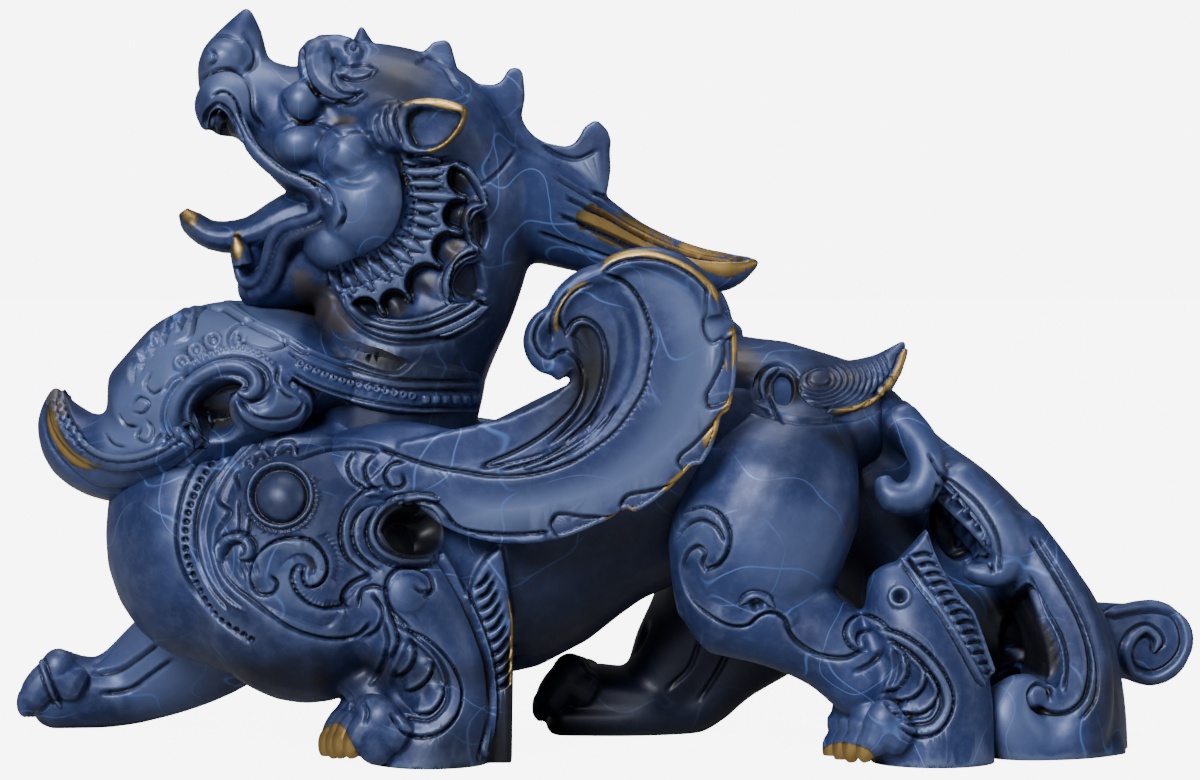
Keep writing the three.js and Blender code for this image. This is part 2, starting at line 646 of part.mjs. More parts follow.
function rump() {
  return [
    middle(RUMP_WEB, 8), middle(CAPE, 10), middle(TAIL, 10, 8), ...pair(bar(TAIL_FOOT, NEAR, 7)),
    solid(bar(FAR_CURL.stem, FAR, 8)), solid(swelling(FAR_CURL, FAR, 14, 6)),
  ];
}

// The ruff's comb of short ribs, and the rolled edges of its scallops.
function ruffWork() {
  const { u: middleU, v: middleV, from, to, count } = COMB;
  const [starts, ends] = COMB.reach.map((reach) => round(middleU, middleV, reach, from, to, count));
  const comb = starts.map(([u, v], i) => bar(
    [[u, v, COMB.out[0], COMB.radius, 1], [...ends[i], COMB.out[1], COMB.radius, 1]], NEAR, 4,
  ));
  const rolls = RUFF_ROLLS.map(({ line, radius, out }) => {
    const points = arcs(line, 3);
    const isEnd = (i) => i % (points.length - 1) === 0;
    const stations = points.map(([u, v], i) => [u, v, out, isEnd(i) ? radius / 2 : radius, 1]);
    return bar(stations, NEAR, 5);
  });
  return [...rolls, ...comb].flatMap(pair);
}

// Each ear is a hollowed leaf that flares outwards from the head.
function ears() {
  const leaves = pair(flared(plate(EAR, NEAR), EAR));
  const hollowed = pair(flared(swelling(EAR_HOLLOW, NEAR, 8, 6), EAR));
  return [...leaves.map((leaf, i) => leaf.subtract(hollowed[i])), ...pair(bar(EAR_STALK, NEAR, 7))];
}

// Face, ears, toes, fins and curls, which have their own places in depth.
function details() {
  const near = (stations, sides, steps) => pair(bar(stations, NEAR, sides, steps));
  return join([
    ...near(FANG, 6), ...near(LIP, 6, 22), ...near(JOWL, 5, 10), ...pair(swelling(EYEBALL, NEAR, 10, 7)),
    ...near(BROW, 8, 7), ...near(BROW_LOBE, 7, 5), middle(FOREHEAD_SPIKE, 7), ...ears(), ...ruffWork(),
    solid(plate(LEG_FIN, NEAR)), solid(plate(HOCK_FIN, NEAR)),
    ...TAIL_LOCKS.flatMap(({ stations, steps }) => near(stations, 7, steps)),
  ]);
}

// Where the line of sight through grid square (u, v) meets the near side of the large forms.
function skinFinder(made) {
  const skin = new THREE.Mesh(geometryOf(made), new THREE.MeshBasicMaterial({ side: THREE.DoubleSide }));
  const eye = new THREE.Vector3(0, -EYE.distance, EYE.height);
  return (u, v) => {
    const ray = new THREE.Raycaster(eye, at(u, v, 0).sub(eye).normalize());
    return ray.intersectObject(skin)[0].point;
  };
}

// Points between two lines of corners, a share of the way from the first to the second.
function between(first, second, share) {
  return first.map(([u, v], i) => [
    THREE.MathUtils.lerp(u, second[i][0], share), THREE.MathUtils.lerp(v, second[i][1], share),
  ]);
}

// Points on a circle round (u, v), from one angle to another in degrees.
function round(u, v, reach, from, to, count) {
  return Array.from({ length: count }, (_, i) => {
    const angle = THREE.MathUtils.degToRad(THREE.MathUtils.lerp(from, to, i / (count - 1)));
    return [u + reach * Math.cos(angle), v + reach * Math.sin(angle)];
  });
}

// Carving that stands on the large forms: rims, scrolls, ribs and quills, each a sharp ridge of metal.
function carving(skin) {
  const ridge = (points, radius, steps) => bar(
    points.map(([u, v]) => [u, v, -skin(u, v).y, radius, 1]), NEAR, 4, steps,
  );
  const quills = Array.from({ length: QUILLS.count }, (_, i) => ridge(
    between(QUILLS.outer, QUILLS.inner, i / (QUILLS.count - 1)), QUILLS.radius, 8,
  ));
  const strands = Array.from({ length: MANE_STRANDS.count }, (_, i) => ridge(
    between(MANE_STRANDS.outer, MANE_STRANDS.inner, i / (MANE_STRANDS.count - 1)), MANE_STRANDS.radius, 4,
  ));
  const rib = ({ u, v, radius, from, to }, i) => ridge(
    round(u, v, radius - i * CALF_RIB.step, from, to, CALF_RIB.points), CALF_RIB.radius,
  );
  const calves = CALVES.flatMap((calf) => Array.from({ length: CALF_RIB.count }, (_, i) => rib(calf, i)));
  const paired = PAIRED_LINES.map(({ line, radius }) => ridge(arcs(line, 3), radius));
  const single = SINGLE_LINES.map(({ line, radius }) => ridge(arcs(line, 3), radius));
  return [...[...quills, ...strands, ...paired].flatMap(pair), ...[...calves, ...single].map(solid)];
}

// The domed medallion on each shoulder and the ringed eye on the cape.
function bosses(skin) {
  const disc = skin(MEDALLION.u, MEDALLION.v);
  const dome = new THREE.SphereGeometry(MEDALLION.dome, 10, 6).rotateX(Math.PI / 2)
    .scale(1, MEDALLION.flatness, 1).translate(disc.x, disc.y, disc.z);
  const ring = new THREE.TorusGeometry(MEDALLION.ring, MEDALLION.wire, 4, 14).rotateX(Math.PI / 2)
    .translate(disc.x, disc.y + MEDALLION.wire / 2, disc.z);
  const eye = skin(CAPE_EYE.u, CAPE_EYE.v);
  const [broad, high] = CAPE_EYE.radii;
  const capeEye = new THREE.TorusGeometry(1, CAPE_EYE.wire / broad, 4, 10).rotateX(Math.PI / 2)
    .scale(broad, CAPE_EYE.rise, high).translate(eye.x, eye.y, eye.z);
  return [dome, ring, capeEye].flatMap(pair);
}

// Scalloped hollows between the ruff's locks, and the socket under each wing.
function hollows() {
  const pits = round(PITS.u, PITS.v, PITS.reach, PITS.from, PITS.to, PITS.count).map(([u, v]) => swelling(
    { at: [u, v, PITS.out], radii: [PITS.radius, PITS.depth, PITS.radius] }, NEAR, 6, 4,
  ));
  const curl = flared(swelling(WING_HOLLOW, NEAR, 8, 6), WING);
  return join([...pits, swelling(SOCKET, NEAR, 10, 8), curl].flatMap(pair));
}

// The whole casting, flat where it stands.
function figure() {
  const large = masses();
  const skin = skinFinder(large);
  const whole = join([large.subtract(hollows()), details(), ...carving(skin), ...bosses(skin)]);
  const { size, depth } = FLOOR;
  return whole.subtract(solid(new THREE.BoxGeometry(size, size, depth).translate(0, 0, -depth / 2)));
}

const figurine = new THREE.Mesh(
  thin(geometryOf(figure())).translate(-MIDDLE.x, -MIDDLE.y, 0),
  new THREE.MeshStandardMaterial({ ...FINISH, flatShading: true }),
);
figurine.name = 'guardian_beast';

const part = new THREE.Group();
part.add(figurine);

export default part;
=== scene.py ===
"""A cast brass guardian beast with a blue patina, dressed over its CAD solid.

The beast walks towards -X with its near side on -Y. Its side elevation is drawn in fifths of a
millimetre, u to the right and v down. Pieces are shaped in millimetres and scaled to metres at the end.
"""
import logging
import math
from dataclasses import dataclass, field
from enum import Enum
from typing import Iterable, Sequence

import bmesh
import bpy
import numpy as np
from mathutils import Euler, Matrix, Vector


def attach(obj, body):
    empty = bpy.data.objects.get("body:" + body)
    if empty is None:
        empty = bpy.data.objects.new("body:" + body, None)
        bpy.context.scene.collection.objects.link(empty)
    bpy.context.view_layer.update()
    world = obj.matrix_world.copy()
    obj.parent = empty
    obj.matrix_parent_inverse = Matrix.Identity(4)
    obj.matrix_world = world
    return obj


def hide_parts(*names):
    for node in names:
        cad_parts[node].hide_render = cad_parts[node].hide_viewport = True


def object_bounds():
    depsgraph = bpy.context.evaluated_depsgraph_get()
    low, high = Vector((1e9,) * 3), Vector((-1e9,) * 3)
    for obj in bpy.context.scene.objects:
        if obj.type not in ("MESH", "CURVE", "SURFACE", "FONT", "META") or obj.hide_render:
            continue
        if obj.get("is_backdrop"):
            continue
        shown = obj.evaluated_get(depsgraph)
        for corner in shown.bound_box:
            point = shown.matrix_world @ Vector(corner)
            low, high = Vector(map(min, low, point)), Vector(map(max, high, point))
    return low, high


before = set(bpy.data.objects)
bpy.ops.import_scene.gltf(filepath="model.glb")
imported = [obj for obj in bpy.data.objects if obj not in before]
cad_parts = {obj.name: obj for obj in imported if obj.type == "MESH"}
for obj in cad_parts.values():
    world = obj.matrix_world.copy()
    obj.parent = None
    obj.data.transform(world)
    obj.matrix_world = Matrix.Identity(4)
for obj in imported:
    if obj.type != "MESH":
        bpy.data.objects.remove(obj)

LOG = logging.getLogger("guardian_beast")
METRE = 0.001
# The cell of a map for carving, and of one for painting, on the elevation.
CARVED = 0.5
PAINTED = 0.6

# A drawn line is a row of points, or text that holds them as "u,v u,v".
Point = tuple[float, ...]
Line = Sequence[Point] | str


class Side(Enum):
    """The side of the beast that a form lies on."""

    NEAR = -1
    FAR = 1


class Reach(Enum):
    """Which faces a carved layer is cut into."""

    PAIRED = "both flanks alike"
    NEAR = "the near limb"
    FAR = "the far limb"


@dataclass(frozen=True)
class Elevation:
    """How the side elevation lies in space, seen from a point out on the near side."""

    per_mm: float = 5.0
    middle_u: float = 600.0
    level_v: float = 165.0
    eye_height: float = 116.0
    distance: float = 900.0
    centring: tuple[float, float] = (0.55, 0.14)

    def place(self, u: float, v: float, y: float) -> Vector:
        """The point that (u, v) covers at a depth."""
        scale = self.per_mm * self.distance / (self.distance + y)
        return Vector(((u - self.middle_u) / scale, y, self.eye_height - (v - self.level_v) / scale))

    def read(self, points: np.ndarray, mirrored: bool) -> tuple[np.ndarray, np.ndarray]:
        """Where points lie on the elevation.

        Args:
            points: Points in millimetres, one to a row.
            mirrored: True to read the far side as the near side's mirror image.

        Returns:
            The u and v of each point.
        """
        depth = -np.abs(points[:, 1]) if mirrored else points[:, 1]
        scale = self.per_mm * self.distance / (self.distance + depth)
        return (points[:, 0] * scale + self.middle_u, self.level_v + (self.eye_height - points[:, 2]) * scale)


ELEVATION = Elevation()


def flow(knots: np.ndarray, shares: np.ndarray) -> np.ndarray:
    """Points on a smooth curve through knots.

    Args:
        knots: The knots, one to a row.
        shares: How far along the curve each wanted point is, from 0 to 1.

    Returns:
        The points, one to a row.
    """
    last = len(knots) - 1
    padded = np.vstack([2 * knots[0] - knots[1], knots, 2 * knots[-1] - knots[-2]])
    place = np.clip(shares, 0, 1) * last
    start = np.minimum(place.astype(int), last - 1)
    t = (place - start)[:, None]
    p0, p1, p2, p3 = (padded[start + k] for k in range(4))

    def gap(a: np.ndarray, b: np.ndarray) -> np.ndarray:
        """The square root of the distance between two points."""
        return np.maximum(np.sqrt(np.linalg.norm(b - a, axis=1, keepdims=True)), 1e-3)

    d0, d1, d2 = gap(p0, p1), gap(p1, p2), gap(p2, p3)
    t1 = ((p1 - p0) / d0 - (p2 - p0) / (d0 + d1) + (p2 - p1) / d1) * d1
    t2 = ((p2 - p1) / d1 - (p3 - p1) / (d1 + d2) + (p3 - p2) / d2) * d1
    return p1 + t1 * t + (3 * (p2 - p1) - 2 * t1 - t2) * t**2 + (2 * (p1 - p2) + t1 + t2) * t**3


def drawn(line: Line) -> np.ndarray:
    """A line's points, one to a row, also where they are written as "u,v u,v"."""
    return np.array([point.split(",") for point in line.split()] if isinstance(line, str) else line, float)


def smooth(line: Line, grain: float = 2.5) -> np.ndarray:
    """A drawn line as a smooth curve.

    Args:
        line: Its points on the elevation.
        grain: The distance between points on the curve.

    Returns:
        The curve's points, one to a row.
    """
    knots = drawn(line)[:, :2]
    length = np.linalg.norm(np.diff(knots, axis=0), axis=1).sum()
    count = max(2, int(length / grain))
    shares = np.linspace(0, 1, count + 1)
    if len(knots) > 2:
        return flow(knots, shares)
    return knots[0] + shares[:, None] * (knots[1] - knots[0])


def evenly(line: Line, count: int) -> np.ndarray:
    """Points at even distances on a smooth curve.

    Args:
        line: The curve's knots.
        count: How many points.

    Returns:
        The points, one to a row.
    """
    curve = smooth(line, 1.0)
    run = np.concatenate([[0], np.cumsum(np.linalg.norm(np.diff(curve, axis=0), axis=1))])
    wanted = np.linspace(0, run[-1], count)
    return np.column_stack([np.interp(wanted, run, curve[:, k]) for k in range(2)])


def spiral(u: float, v: float, outer: float, inner: float, start: float, turns: float) -> np.ndarray:
    """A spiral that winds inwards.

    Args:
        u: Its middle's u.
        v: Its middle's v.
        outer: The radius where it starts.
        inner: The radius where it ends.
        start: The angle where it starts, in degrees clockwise from the right.
        turns: How many turns, negative for anticlockwise.

    Returns:
        Its points, one to a row.
    """
    share = np.linspace(0, 1, max(6, int(abs(turns) * 12)))
    angle = math.radians(start) + share * turns * math.tau
    reach = outer + (inner - outer) * share
    return np.column_stack([u + reach * np.cos(angle), v + reach * np.sin(angle)])


def arcs(corners: Line, steps: float = 5, closed: bool = True) -> list[tuple[float, float]]:
    """Points on an outline whose sides are arcs.

    Args:
        corners: Each corner's u, v and the bulge of the side that starts there.
        steps: The larger, the finer the arcs.
        closed: True when the last corner joins the first.

    Returns:
        The points.
    """
    points = []
    for i in range(len(corners) if closed else len(corners) - 1):
        u, v, bulge = corners[i]
        next_u, next_v = corners[(i + 1) % len(corners)][:2]
        du, dv = next_u - u, next_v - v
        chord = math.hypot(du, dv)
        count = max(2, round(steps * math.sqrt(abs(bulge) * chord) / 24)) if abs(bulge) > 1 else 1
        half = 2 * math.atan(2 * bulge / chord)
        for k in range(count):
            t = k / count
            turn = half * (2 * t - 1)
            bent = abs(half) > 1e-4
            along = 0.5 + 0.5 * math.sin(turn) / math.sin(half) if bent else t
            aside = 0.5 * (math.cos(turn) - math.cos(half)) / math.sin(half) if bent else 0.0
            points.append((u + du * along + dv * aside, v + dv * along - du * aside))
    return points if closed else points + [tuple(corners[-1][:2])]


class Relief:
    """A map of heights over part of the side elevation, drawn stroke by stroke.

    Places and widths are in the elevation's fifths of a millimetre, and heights in millimetres. Strokes
    fade to a share of their depth over a few widths at each end, and add up where they cross.
    """

    END_SHARE = 0.3
    FADE_WIDTHS = 3
    LASH_WIDTH = 2.6
    BASIN_EDGE = 2.6

    def __init__(self, low: Point, high: Point, cell: float = PAINTED) -> None:
        """Starts a flat map.

        Args:
            low: Its least u and v.
            high: Its greatest u and v.
            cell: The width of a cell.
        """
        self.cell = cell
        self.us = np.arange(low[0], high[0], cell)
        self.vs = np.arange(low[1], high[1], cell)
        self.height = np.zeros((len(self.vs), len(self.us)))

    def window(self, low: np.ndarray, high: np.ndarray) -> tuple[slice, slice]:
        """The cells of a box.

        Args:
            low: The box's first corner.
            high: The corner across from it.

        Returns:
            The slices of its rows and columns.
        """
        rows = np.searchsorted(self.vs, (low[1], high[1]))
        columns = np.searchsorted(self.us, (low[0], high[0]))
        return slice(*rows), slice(*columns)

    def nearest(self, path: np.ndarray, reach: float) -> tuple:
        """How the cells near a path lie to it.

        Args:
            path: The path's points.
            reach: How far out cells are wanted.

        Returns:
            The window of cells, and for each cell the distance to the path, the side it lies on (1 to the
            right of travel), how far along it is, and the length of the path.
        """
        rows, columns = self.window(path.min(0) - reach, path.max(0) + reach)
        us, vs = self.us[columns], self.vs[rows]
        away = np.full((len(vs), len(us)), 1e6)
        side, along, run = np.zeros_like(away), np.zeros_like(away), 0.0
        for a, b in zip(path[:-1], path[1:]):
            span = b - a
            length = float(np.hypot(*span))
            if length < 1e-6:
                continue
            low, high = np.minimum(a, b) - reach, np.maximum(a, b) + reach
            i = slice(*np.searchsorted(us, (low[0], high[0])))
            j = slice(*np.searchsorted(vs, (low[1], high[1])))
            pu, pv = us[i][None, :] - a[0], vs[j][:, None] - a[1]
            t = np.clip((pu * span[0] + pv * span[1]) / length**2, 0, 1)
            distance = np.hypot(pu - t * span[0], pv - t * span[1])
            closer = distance < away[j, i]
            away[j, i] = np.where(closer, distance, away[j, i])
            side[j, i] = np.where(closer, np.sign(span[0] * pv - span[1] * pu), side[j, i])
            along[j, i] = np.where(closer, run + t * length, along[j, i])
            run += length
        return (rows, columns), away, side, along, run

    def ends(self, along: np.ndarray, run: float, width: float) -> np.ndarray:
        """How full a stroke is near its two ends, up to 1."""
        share = np.minimum(along, run - along) / (self.FADE_WIDTHS * width) + self.END_SHARE
        return np.clip(share, self.END_SHARE, 1)

    def groove(self, width: float, depth: float, *lines: Line) -> None:
        """Cuts round grooves.

        Args:
            width: Half their width on the elevation.
            depth: Their depth in millimetres, negative for ridges.
            lines: Their lines.
        """
        for line in lines:
            window, away, _, along, run = self.nearest(smooth(line), width)
            profile = np.clip(1 - (away / width) ** 2, 0, 1) ** 1.5
            self.height[window] -= depth * profile * self.ends(along, run, width)

    def ledge(self, line: Line, width: float, depth: float, reach: float, height: float, side: int) -> None:
        """Cuts a groove and raises the ground on one side of it, as groove and step do."""
        self.groove(width, depth, line)
        self.step(line, reach, height, side)

    def cord(self, line: Line, width: float, height: float, undercut: float = 0.45) -> None:
        """Lays a raised round cord with a fine groove along both sides.

        Args:
            line: Its line.
            width: Half its width on the elevation.
            height: Its height in millimetres.
            undercut: The depth of the grooves as a share of the height.
        """
        window, away, _, along, run = self.nearest(smooth(line), 2 * width)
        share = away / (width * self.ends(along, run, width))
        top = np.clip(1 - share**2, 0, 1) ** 0.6
        foot = np.clip(1 - ((share - 1.35) / 0.55) ** 2, 0, 1) ** 1.5
        self.height[window] += height * (top - undercut * foot)

    def step(self, line: Line, reach: float, height: float, side: int = 1) -> None:
        """Raises one side of a line, highest at the line.

        Args:
            line: The line.
            reach: How far from it the raised part runs out.
            height: The height at the line, in millimetres.
            side: 1 to raise what lies to the right of travel, -1 for the left.
        """
        window, away, lies, along, run = self.nearest(smooth(line), reach)
        ramp = np.clip(1 - away / reach, 0, 1) * (lies * side > 0)
        ends = np.clip(np.minimum(along, run - along) / (0.5 * reach), 0, 1)
        self.height[window] += height * ramp * ends

    def dome(self, u: float, v: float, radius: float, height: float, power: float = 0.6) -> None:
        """Raises a dome, or sinks a pit when the height is negative.

        Args:
            u: Its place along the elevation.
            v: Its place down the elevation.
            radius: Its radius.
            height: Its height.
            power: Its roundness, where less is fuller.
        """
        middle = np.array([u, v])
        rows, columns = self.window(middle - radius, middle + radius)
        away = np.hypot(self.us[columns][None, :] - u, self.vs[rows][:, None] - v)
        self.height[rows, columns] += height * np.clip(1 - (away / radius) ** 2, 0, 1) ** power

    def ring(self, u: float, v: float, radius: float, width: float, height: float) -> None:
        """Raises a ring.

        Args:
            u: Its place along the elevation.
            v: Its place down the elevation.
            radius: The radius of its crest.
            width: Half its width.
            height: Its height.
        """
        middle = np.array([u, v])
        rows, columns = self.window(middle - radius - width, middle + radius + width)
        away = np.hypot(self.us[columns][None, :] - u, self.vs[rows][:, None] - v) - radius
        self.height[rows, columns] += height * np.clip(1 - (away / width) ** 2, 0, 1) ** 0.6

    def beads(self, line: Line, spacing: float, radius: float, height: float) -> None:
        """Sets beads, or sinks pits, along a line.

        Args:
            line: The line.
            spacing: From bead to bead.
            radius: A bead's radius.
            height: A bead's height.
        """
        curve = smooth(line, 1.0)
        length = np.linalg.norm(np.diff(curve, axis=0), axis=1).sum()
        for u, v in evenly(line, max(2, round(length / spacing) + 1)):
            self.dome(u, v, radius, height)

    def lashes(self, line: Line, spacing: float, length: float, lean: float, depth: float) -> None:
        """Cuts short slanted grooves that start on a line.

        Args:
            line: The line.
            spacing: The distance between grooves.
            length: The length of each.
            lean: How far each leans from the direction of travel, in degrees clockwise.
            depth: The depth in millimetres.
        """
        curve = smooth(line, 1.0)
        run = np.linalg.norm(np.diff(curve, axis=0), axis=1).sum()
        points = evenly(line, max(3, round(run / spacing) + 1))
        travel = np.gradient(points, axis=0)
        turn = np.arctan2(travel[:, 1], travel[:, 0]) + math.radians(lean)
        for (u, v), angle in zip(points, turn):
            end = (u + length * math.cos(angle), v + length * math.sin(angle))
            self.groove(self.LASH_WIDTH, depth, [(u, v), end])

    def inside(self, outline: np.ndarray, edge: float) -> tuple:
        """The cells inside an outline.

        Args:
            outline: Its points.
            edge: How far in from the outline the share rises from 0 to 1.

        Returns:
            The window of cells, and each cell's share.
        """
        path = np.vstack([outline, outline[:1]])
        window, away, _, _, _ = self.nearest(path, edge + 2)
        us, vs = self.us[window[1]][None, :], self.vs[window[0]][:, None]
        crossed = np.zeros(away.shape, bool)
        for (au, av), (bu, bv) in zip(path[:-1], path[1:]):
            if av != bv:
                crossed ^= ((av > vs) != (bv > vs)) & (us < (bu - au) * (vs - av) / (bv - av) + au)
        share = np.clip(away / edge, 0, 1) * crossed
        return window, share * share * (3 - 2 * share)

    def panel(self, outline: Line, height: float, edge: float) -> None:
        """Raises a whole outlined panel, with a soft edge.

        Args:
            outline: Its corners.
            height: How far it stands up.
            edge: The width of its soft edge.
        """
        corners = drawn(outline)
        window, share = self.inside(smooth(np.vstack([corners, corners[:1]])), edge)
        self.height[window] += height * share

    def basin(self, first: Line, last: Line, deep: float, shallow: float) -> None:
        """Sinks the strip between two lines, with a floor that slopes from one to the other.

        Args:
            first: The line along which the floor lies deepest.
            last: The other line, drawn the same way round.
            deep: The depth along the first line in millimetres.
            shallow: The depth along the other line.
        """
        first, last = np.array(first), np.array(last)
        window, share = self.inside(np.vstack([first, last[::-1]]), self.BASIN_EDGE)
        us, vs = self.us[window[1]][None, :, None], self.vs[window[0]][:, None, None]
        near, far = (np.hypot(us - line[:, 0], vs - line[:, 1]).min(2) for line in (first, last))
        self.height[window] -= share * (shallow + (deep - shallow) * far / (near + far + 1e-6))

    def limit(self) -> None:
        """Keeps a painted map between -1 and 1, before more is painted on it."""
        self.height = np.clip(self.height, -1, 1)

    def read(self, u: np.ndarray, v: np.ndarray) -> np.ndarray:
        """The height at each point, 0 outside the map.

        Args:
            u: Places along the elevation.
            v: Places down the elevation.

        Returns:
            The map's height at each place.
        """
        column, row = (u - self.us[0]) / self.cell, (v - self.vs[0]) / self.cell
        rows, columns = self.height.shape
        within = (column >= 0) & (row >= 0) & (column < columns - 1) & (row < rows - 1)
        i, j = np.where(within, column, 0).astype(int), np.where(within, row, 0).astype(int)
        s, t = np.where(within, column - i, 0), np.where(within, row - j, 0)
        h = self.height
        top = h[j, i] * (1 - s) + h[j, i + 1] * s
        return (top * (1 - t) + (h[j + 1, i] * (1 - s) + h[j + 1, i + 1] * s) * t) * within


class Turn(Enum):
    """How far from the flanks a face may turn and still take a layer, as the sine it faces out with."""

    FLANK = 0.12
    BROAD = -0.2
    ROUND = -0.5
    ANY = -1.4


@dataclass(frozen=True)
class Layer:
    """A map and the faces that it is cut into or painted on."""

    relief: Relief
    reach: Reach = Reach.PAIRED
    turn: Turn = Turn.FLANK
    out: float = 0.5
    within: float = 100.0
    fade: float = 0.4

    def read(self, points: np.ndarray, normals: np.ndarray) -> np.ndarray:
        """The map's value at each point, less where a face turns further away from the flanks.

        Args:
            points: Points in millimetres, one to a row.
            normals: Their normals.

        Returns:
            A value for each point.
        """
        u, v = ELEVATION.read(points, self.reach is Reach.PAIRED)
        side = np.sign(points[:, 1])
        facing = normals[:, 1] * side
        if self.reach is Reach.NEAR:
            facing = np.where(side < 0, facing, 0)
        if self.reach is Reach.FAR:
            facing = np.where(side > 0, np.abs(normals[:, 1]), 0)
        outward = {Reach.NEAR: -points[:, 1], Reach.FAR: points[:, 1]}.get(self.reach, np.abs(points[:, 1]))
        share = np.clip((facing - self.turn.value) / self.fade, 0, 1)
        share = share * (outward > self.out) * (outward < self.within)
        return self.relief.read(u, v) * share * share * (3 - 2 * share)


class Clay:
    """Closed shells in millimetres, to be fused into one piece.

    A bar with ends thicker than THIN is closed by domes, whose rounds stand so many radii out and have
    these shares of the end's radius.
    """

    THIN = 2.5
    DOME = ((0.42, 0.75), (0.6, 0.3))

    def __init__(self) -> None:
        """Starts with nothing."""
        self.shells = bmesh.new()

    def bar(self, stations: Line, side: Side = Side.NEAR, sides: int = 14, steps: int = 0) -> list:
        """A round bar along a smooth line.

        Args:
            stations: Each one's u, v, depth, radius, and half breadth as a share of the radius.
            side: The side of the beast it lies on.
            sides: Its sides.
            steps: Its steps along the line, or 0 for three between stations.

        Returns:
            Its vertices.
        """
        rows = np.array(stations, float)
        places = np.array([ELEVATION.place(u, v, side.value * out) for u, v, out, _, _ in stations])
        steps = steps or 3 * (len(stations) - 1)
        shares = np.linspace(0, 1, steps + 1)
        line, sizes = flow(places, shares), flow(rows[:, 3:5], shares)
        travel = np.gradient(line, axis=0)
        rounds = [(k, 0.0, 1.0) for k in range(steps + 1)]
        if sizes[0, 0] > self.THIN:
            rounds = [(0, -out, share) for out, share in reversed(self.DOME)] + rounds
        if sizes[-1, 0] > self.THIN:
            rounds += [(steps, out, share) for out, share in self.DOME]
        loops, made = [], []
        for i, (k, out, share) in enumerate(rounds):
            along = Vector(travel[k]).normalized()
            broad = (Vector((0, 1, 0)) - along * along.y).normalized()
            deep = along.cross(broad)
            radius, breadth = max(0.05, sizes[k, 0]), sizes[k, 1]
            turned = Matrix((deep * radius * share, broad * radius * breadth * share, along)).transposed()
            matrix = Matrix.Translation(Vector(line[k]) + along * out * radius) @ turned.to_4x4()
            ring = bmesh.ops.create_circle(
                self.shells, cap_ends=i in (0, len(rounds) - 1), segments=sides, radius=1, matrix=matrix)
            loops.append(list({edge for vert in ring["verts"] for edge in vert.link_edges}))
            made += ring["verts"]
        for first, second in zip(loops[:-1], loops[1:]):
            bmesh.ops.bridge_loops(self.shells, edges=first + second)
        return made

    def swelling(self, at: Point, radii: Point, side: Side = Side.NEAR, grain: int = 3) -> list:
        """An egg-shaped swelling.

        Args:
            at: Its middle's u, v and depth.
            radii: Its radii in millimetres.
            side: The side of the beast it lies on.
            grain: How finely it is divided.

        Returns:
            Its vertices.
        """
        matrix = Matrix.Translation(ELEVATION.place(at[0], at[1], side.value * at[2])) @ Matrix.Diagonal(
            (*radii, 1))
        return bmesh.ops.create_icosphere(self.shells, subdivisions=grain, radius=1, matrix=matrix)["verts"]

    def plate(self, outline: Line, depth: tuple[float, float], steps: float = 5) -> list:
        """A near-side plate cut to an outline.

        Args:
            outline: Its corners, with the bulge of each side.
            depth: The depths of its inner and outer faces.
            steps: The larger, the finer its arcs.

        Returns:
            Its vertices.
        """
        inner, outer = depth
        corners = [ELEVATION.place(u, v, -outer) for u, v in arcs(outline, steps)]
        corners = [self.shells.verts.new((c.x, -inner, c.z)) for c in corners]
        face = [self.shells.faces.new(corners)]
        grown = bmesh.ops.extrude_face_region(self.shells, geom=face, use_keep_orig=True)["geom"]
        raised = [g for g in grown if isinstance(g, bmesh.types.BMVert)]
        bmesh.ops.translate(self.shells, vec=(0, inner - outer, 0), verts=raised)
        return corners + raised

    def flare(self, verts: list, u: float, v: float, depth: float, angle: float) -> list:
        """Turns near-side vertices about an upright line, so that their far end stands away.

        Args:
            verts: The vertices.
            u: The line's place along the elevation.
            v: Its place down the elevation.
            depth: Its depth.
            angle: The turn in degrees.

        Returns:
            The same vertices.
        """
        hinge = ELEVATION.place(u, v, -depth)
        bmesh.ops.rotate(
            self.shells, cent=hinge, verts=verts, matrix=Matrix.Rotation(-math.radians(angle), 3, "Z"))
        return verts

    def pair(self, verts: list, shift: tuple[float, float] = (0, 0)) -> None:
        """Copies near-side vertices to the far side.

        Args:
            verts: The near-side vertices.
            shift: How far back and down the copy is set.
        """
        faces = {f for vert in verts for f in vert.link_faces}
        edges = {e for vert in verts for e in vert.link_edges}
        copy = bmesh.ops.duplicate(self.shells, geom=[*verts, *edges, *faces])["geom"]
        moved = [g for g in copy if isinstance(g, bmesh.types.BMVert)]
        bmesh.ops.scale(self.shells, vec=(1, -1, 1), verts=moved)
        bmesh.ops.translate(self.shells, vec=(shift[0], 0, -shift[1]), verts=moved)

    def fused(self, grain: float, rounds: int) -> bpy.types.Mesh:
        """The shells as one skin.

        Args:
            grain: The size of the skin's faces.
            rounds: How many times it is smoothed.

        Returns:
            The skin.
        """
        bmesh.ops.recalc_face_normals(self.shells, faces=self.shells.faces)
        mesh = bpy.data.meshes.new("clay")
        self.shells.to_mesh(mesh)
        self.shells.free()
        return shaped(mesh, Fuse(grain), Soften(rounds))


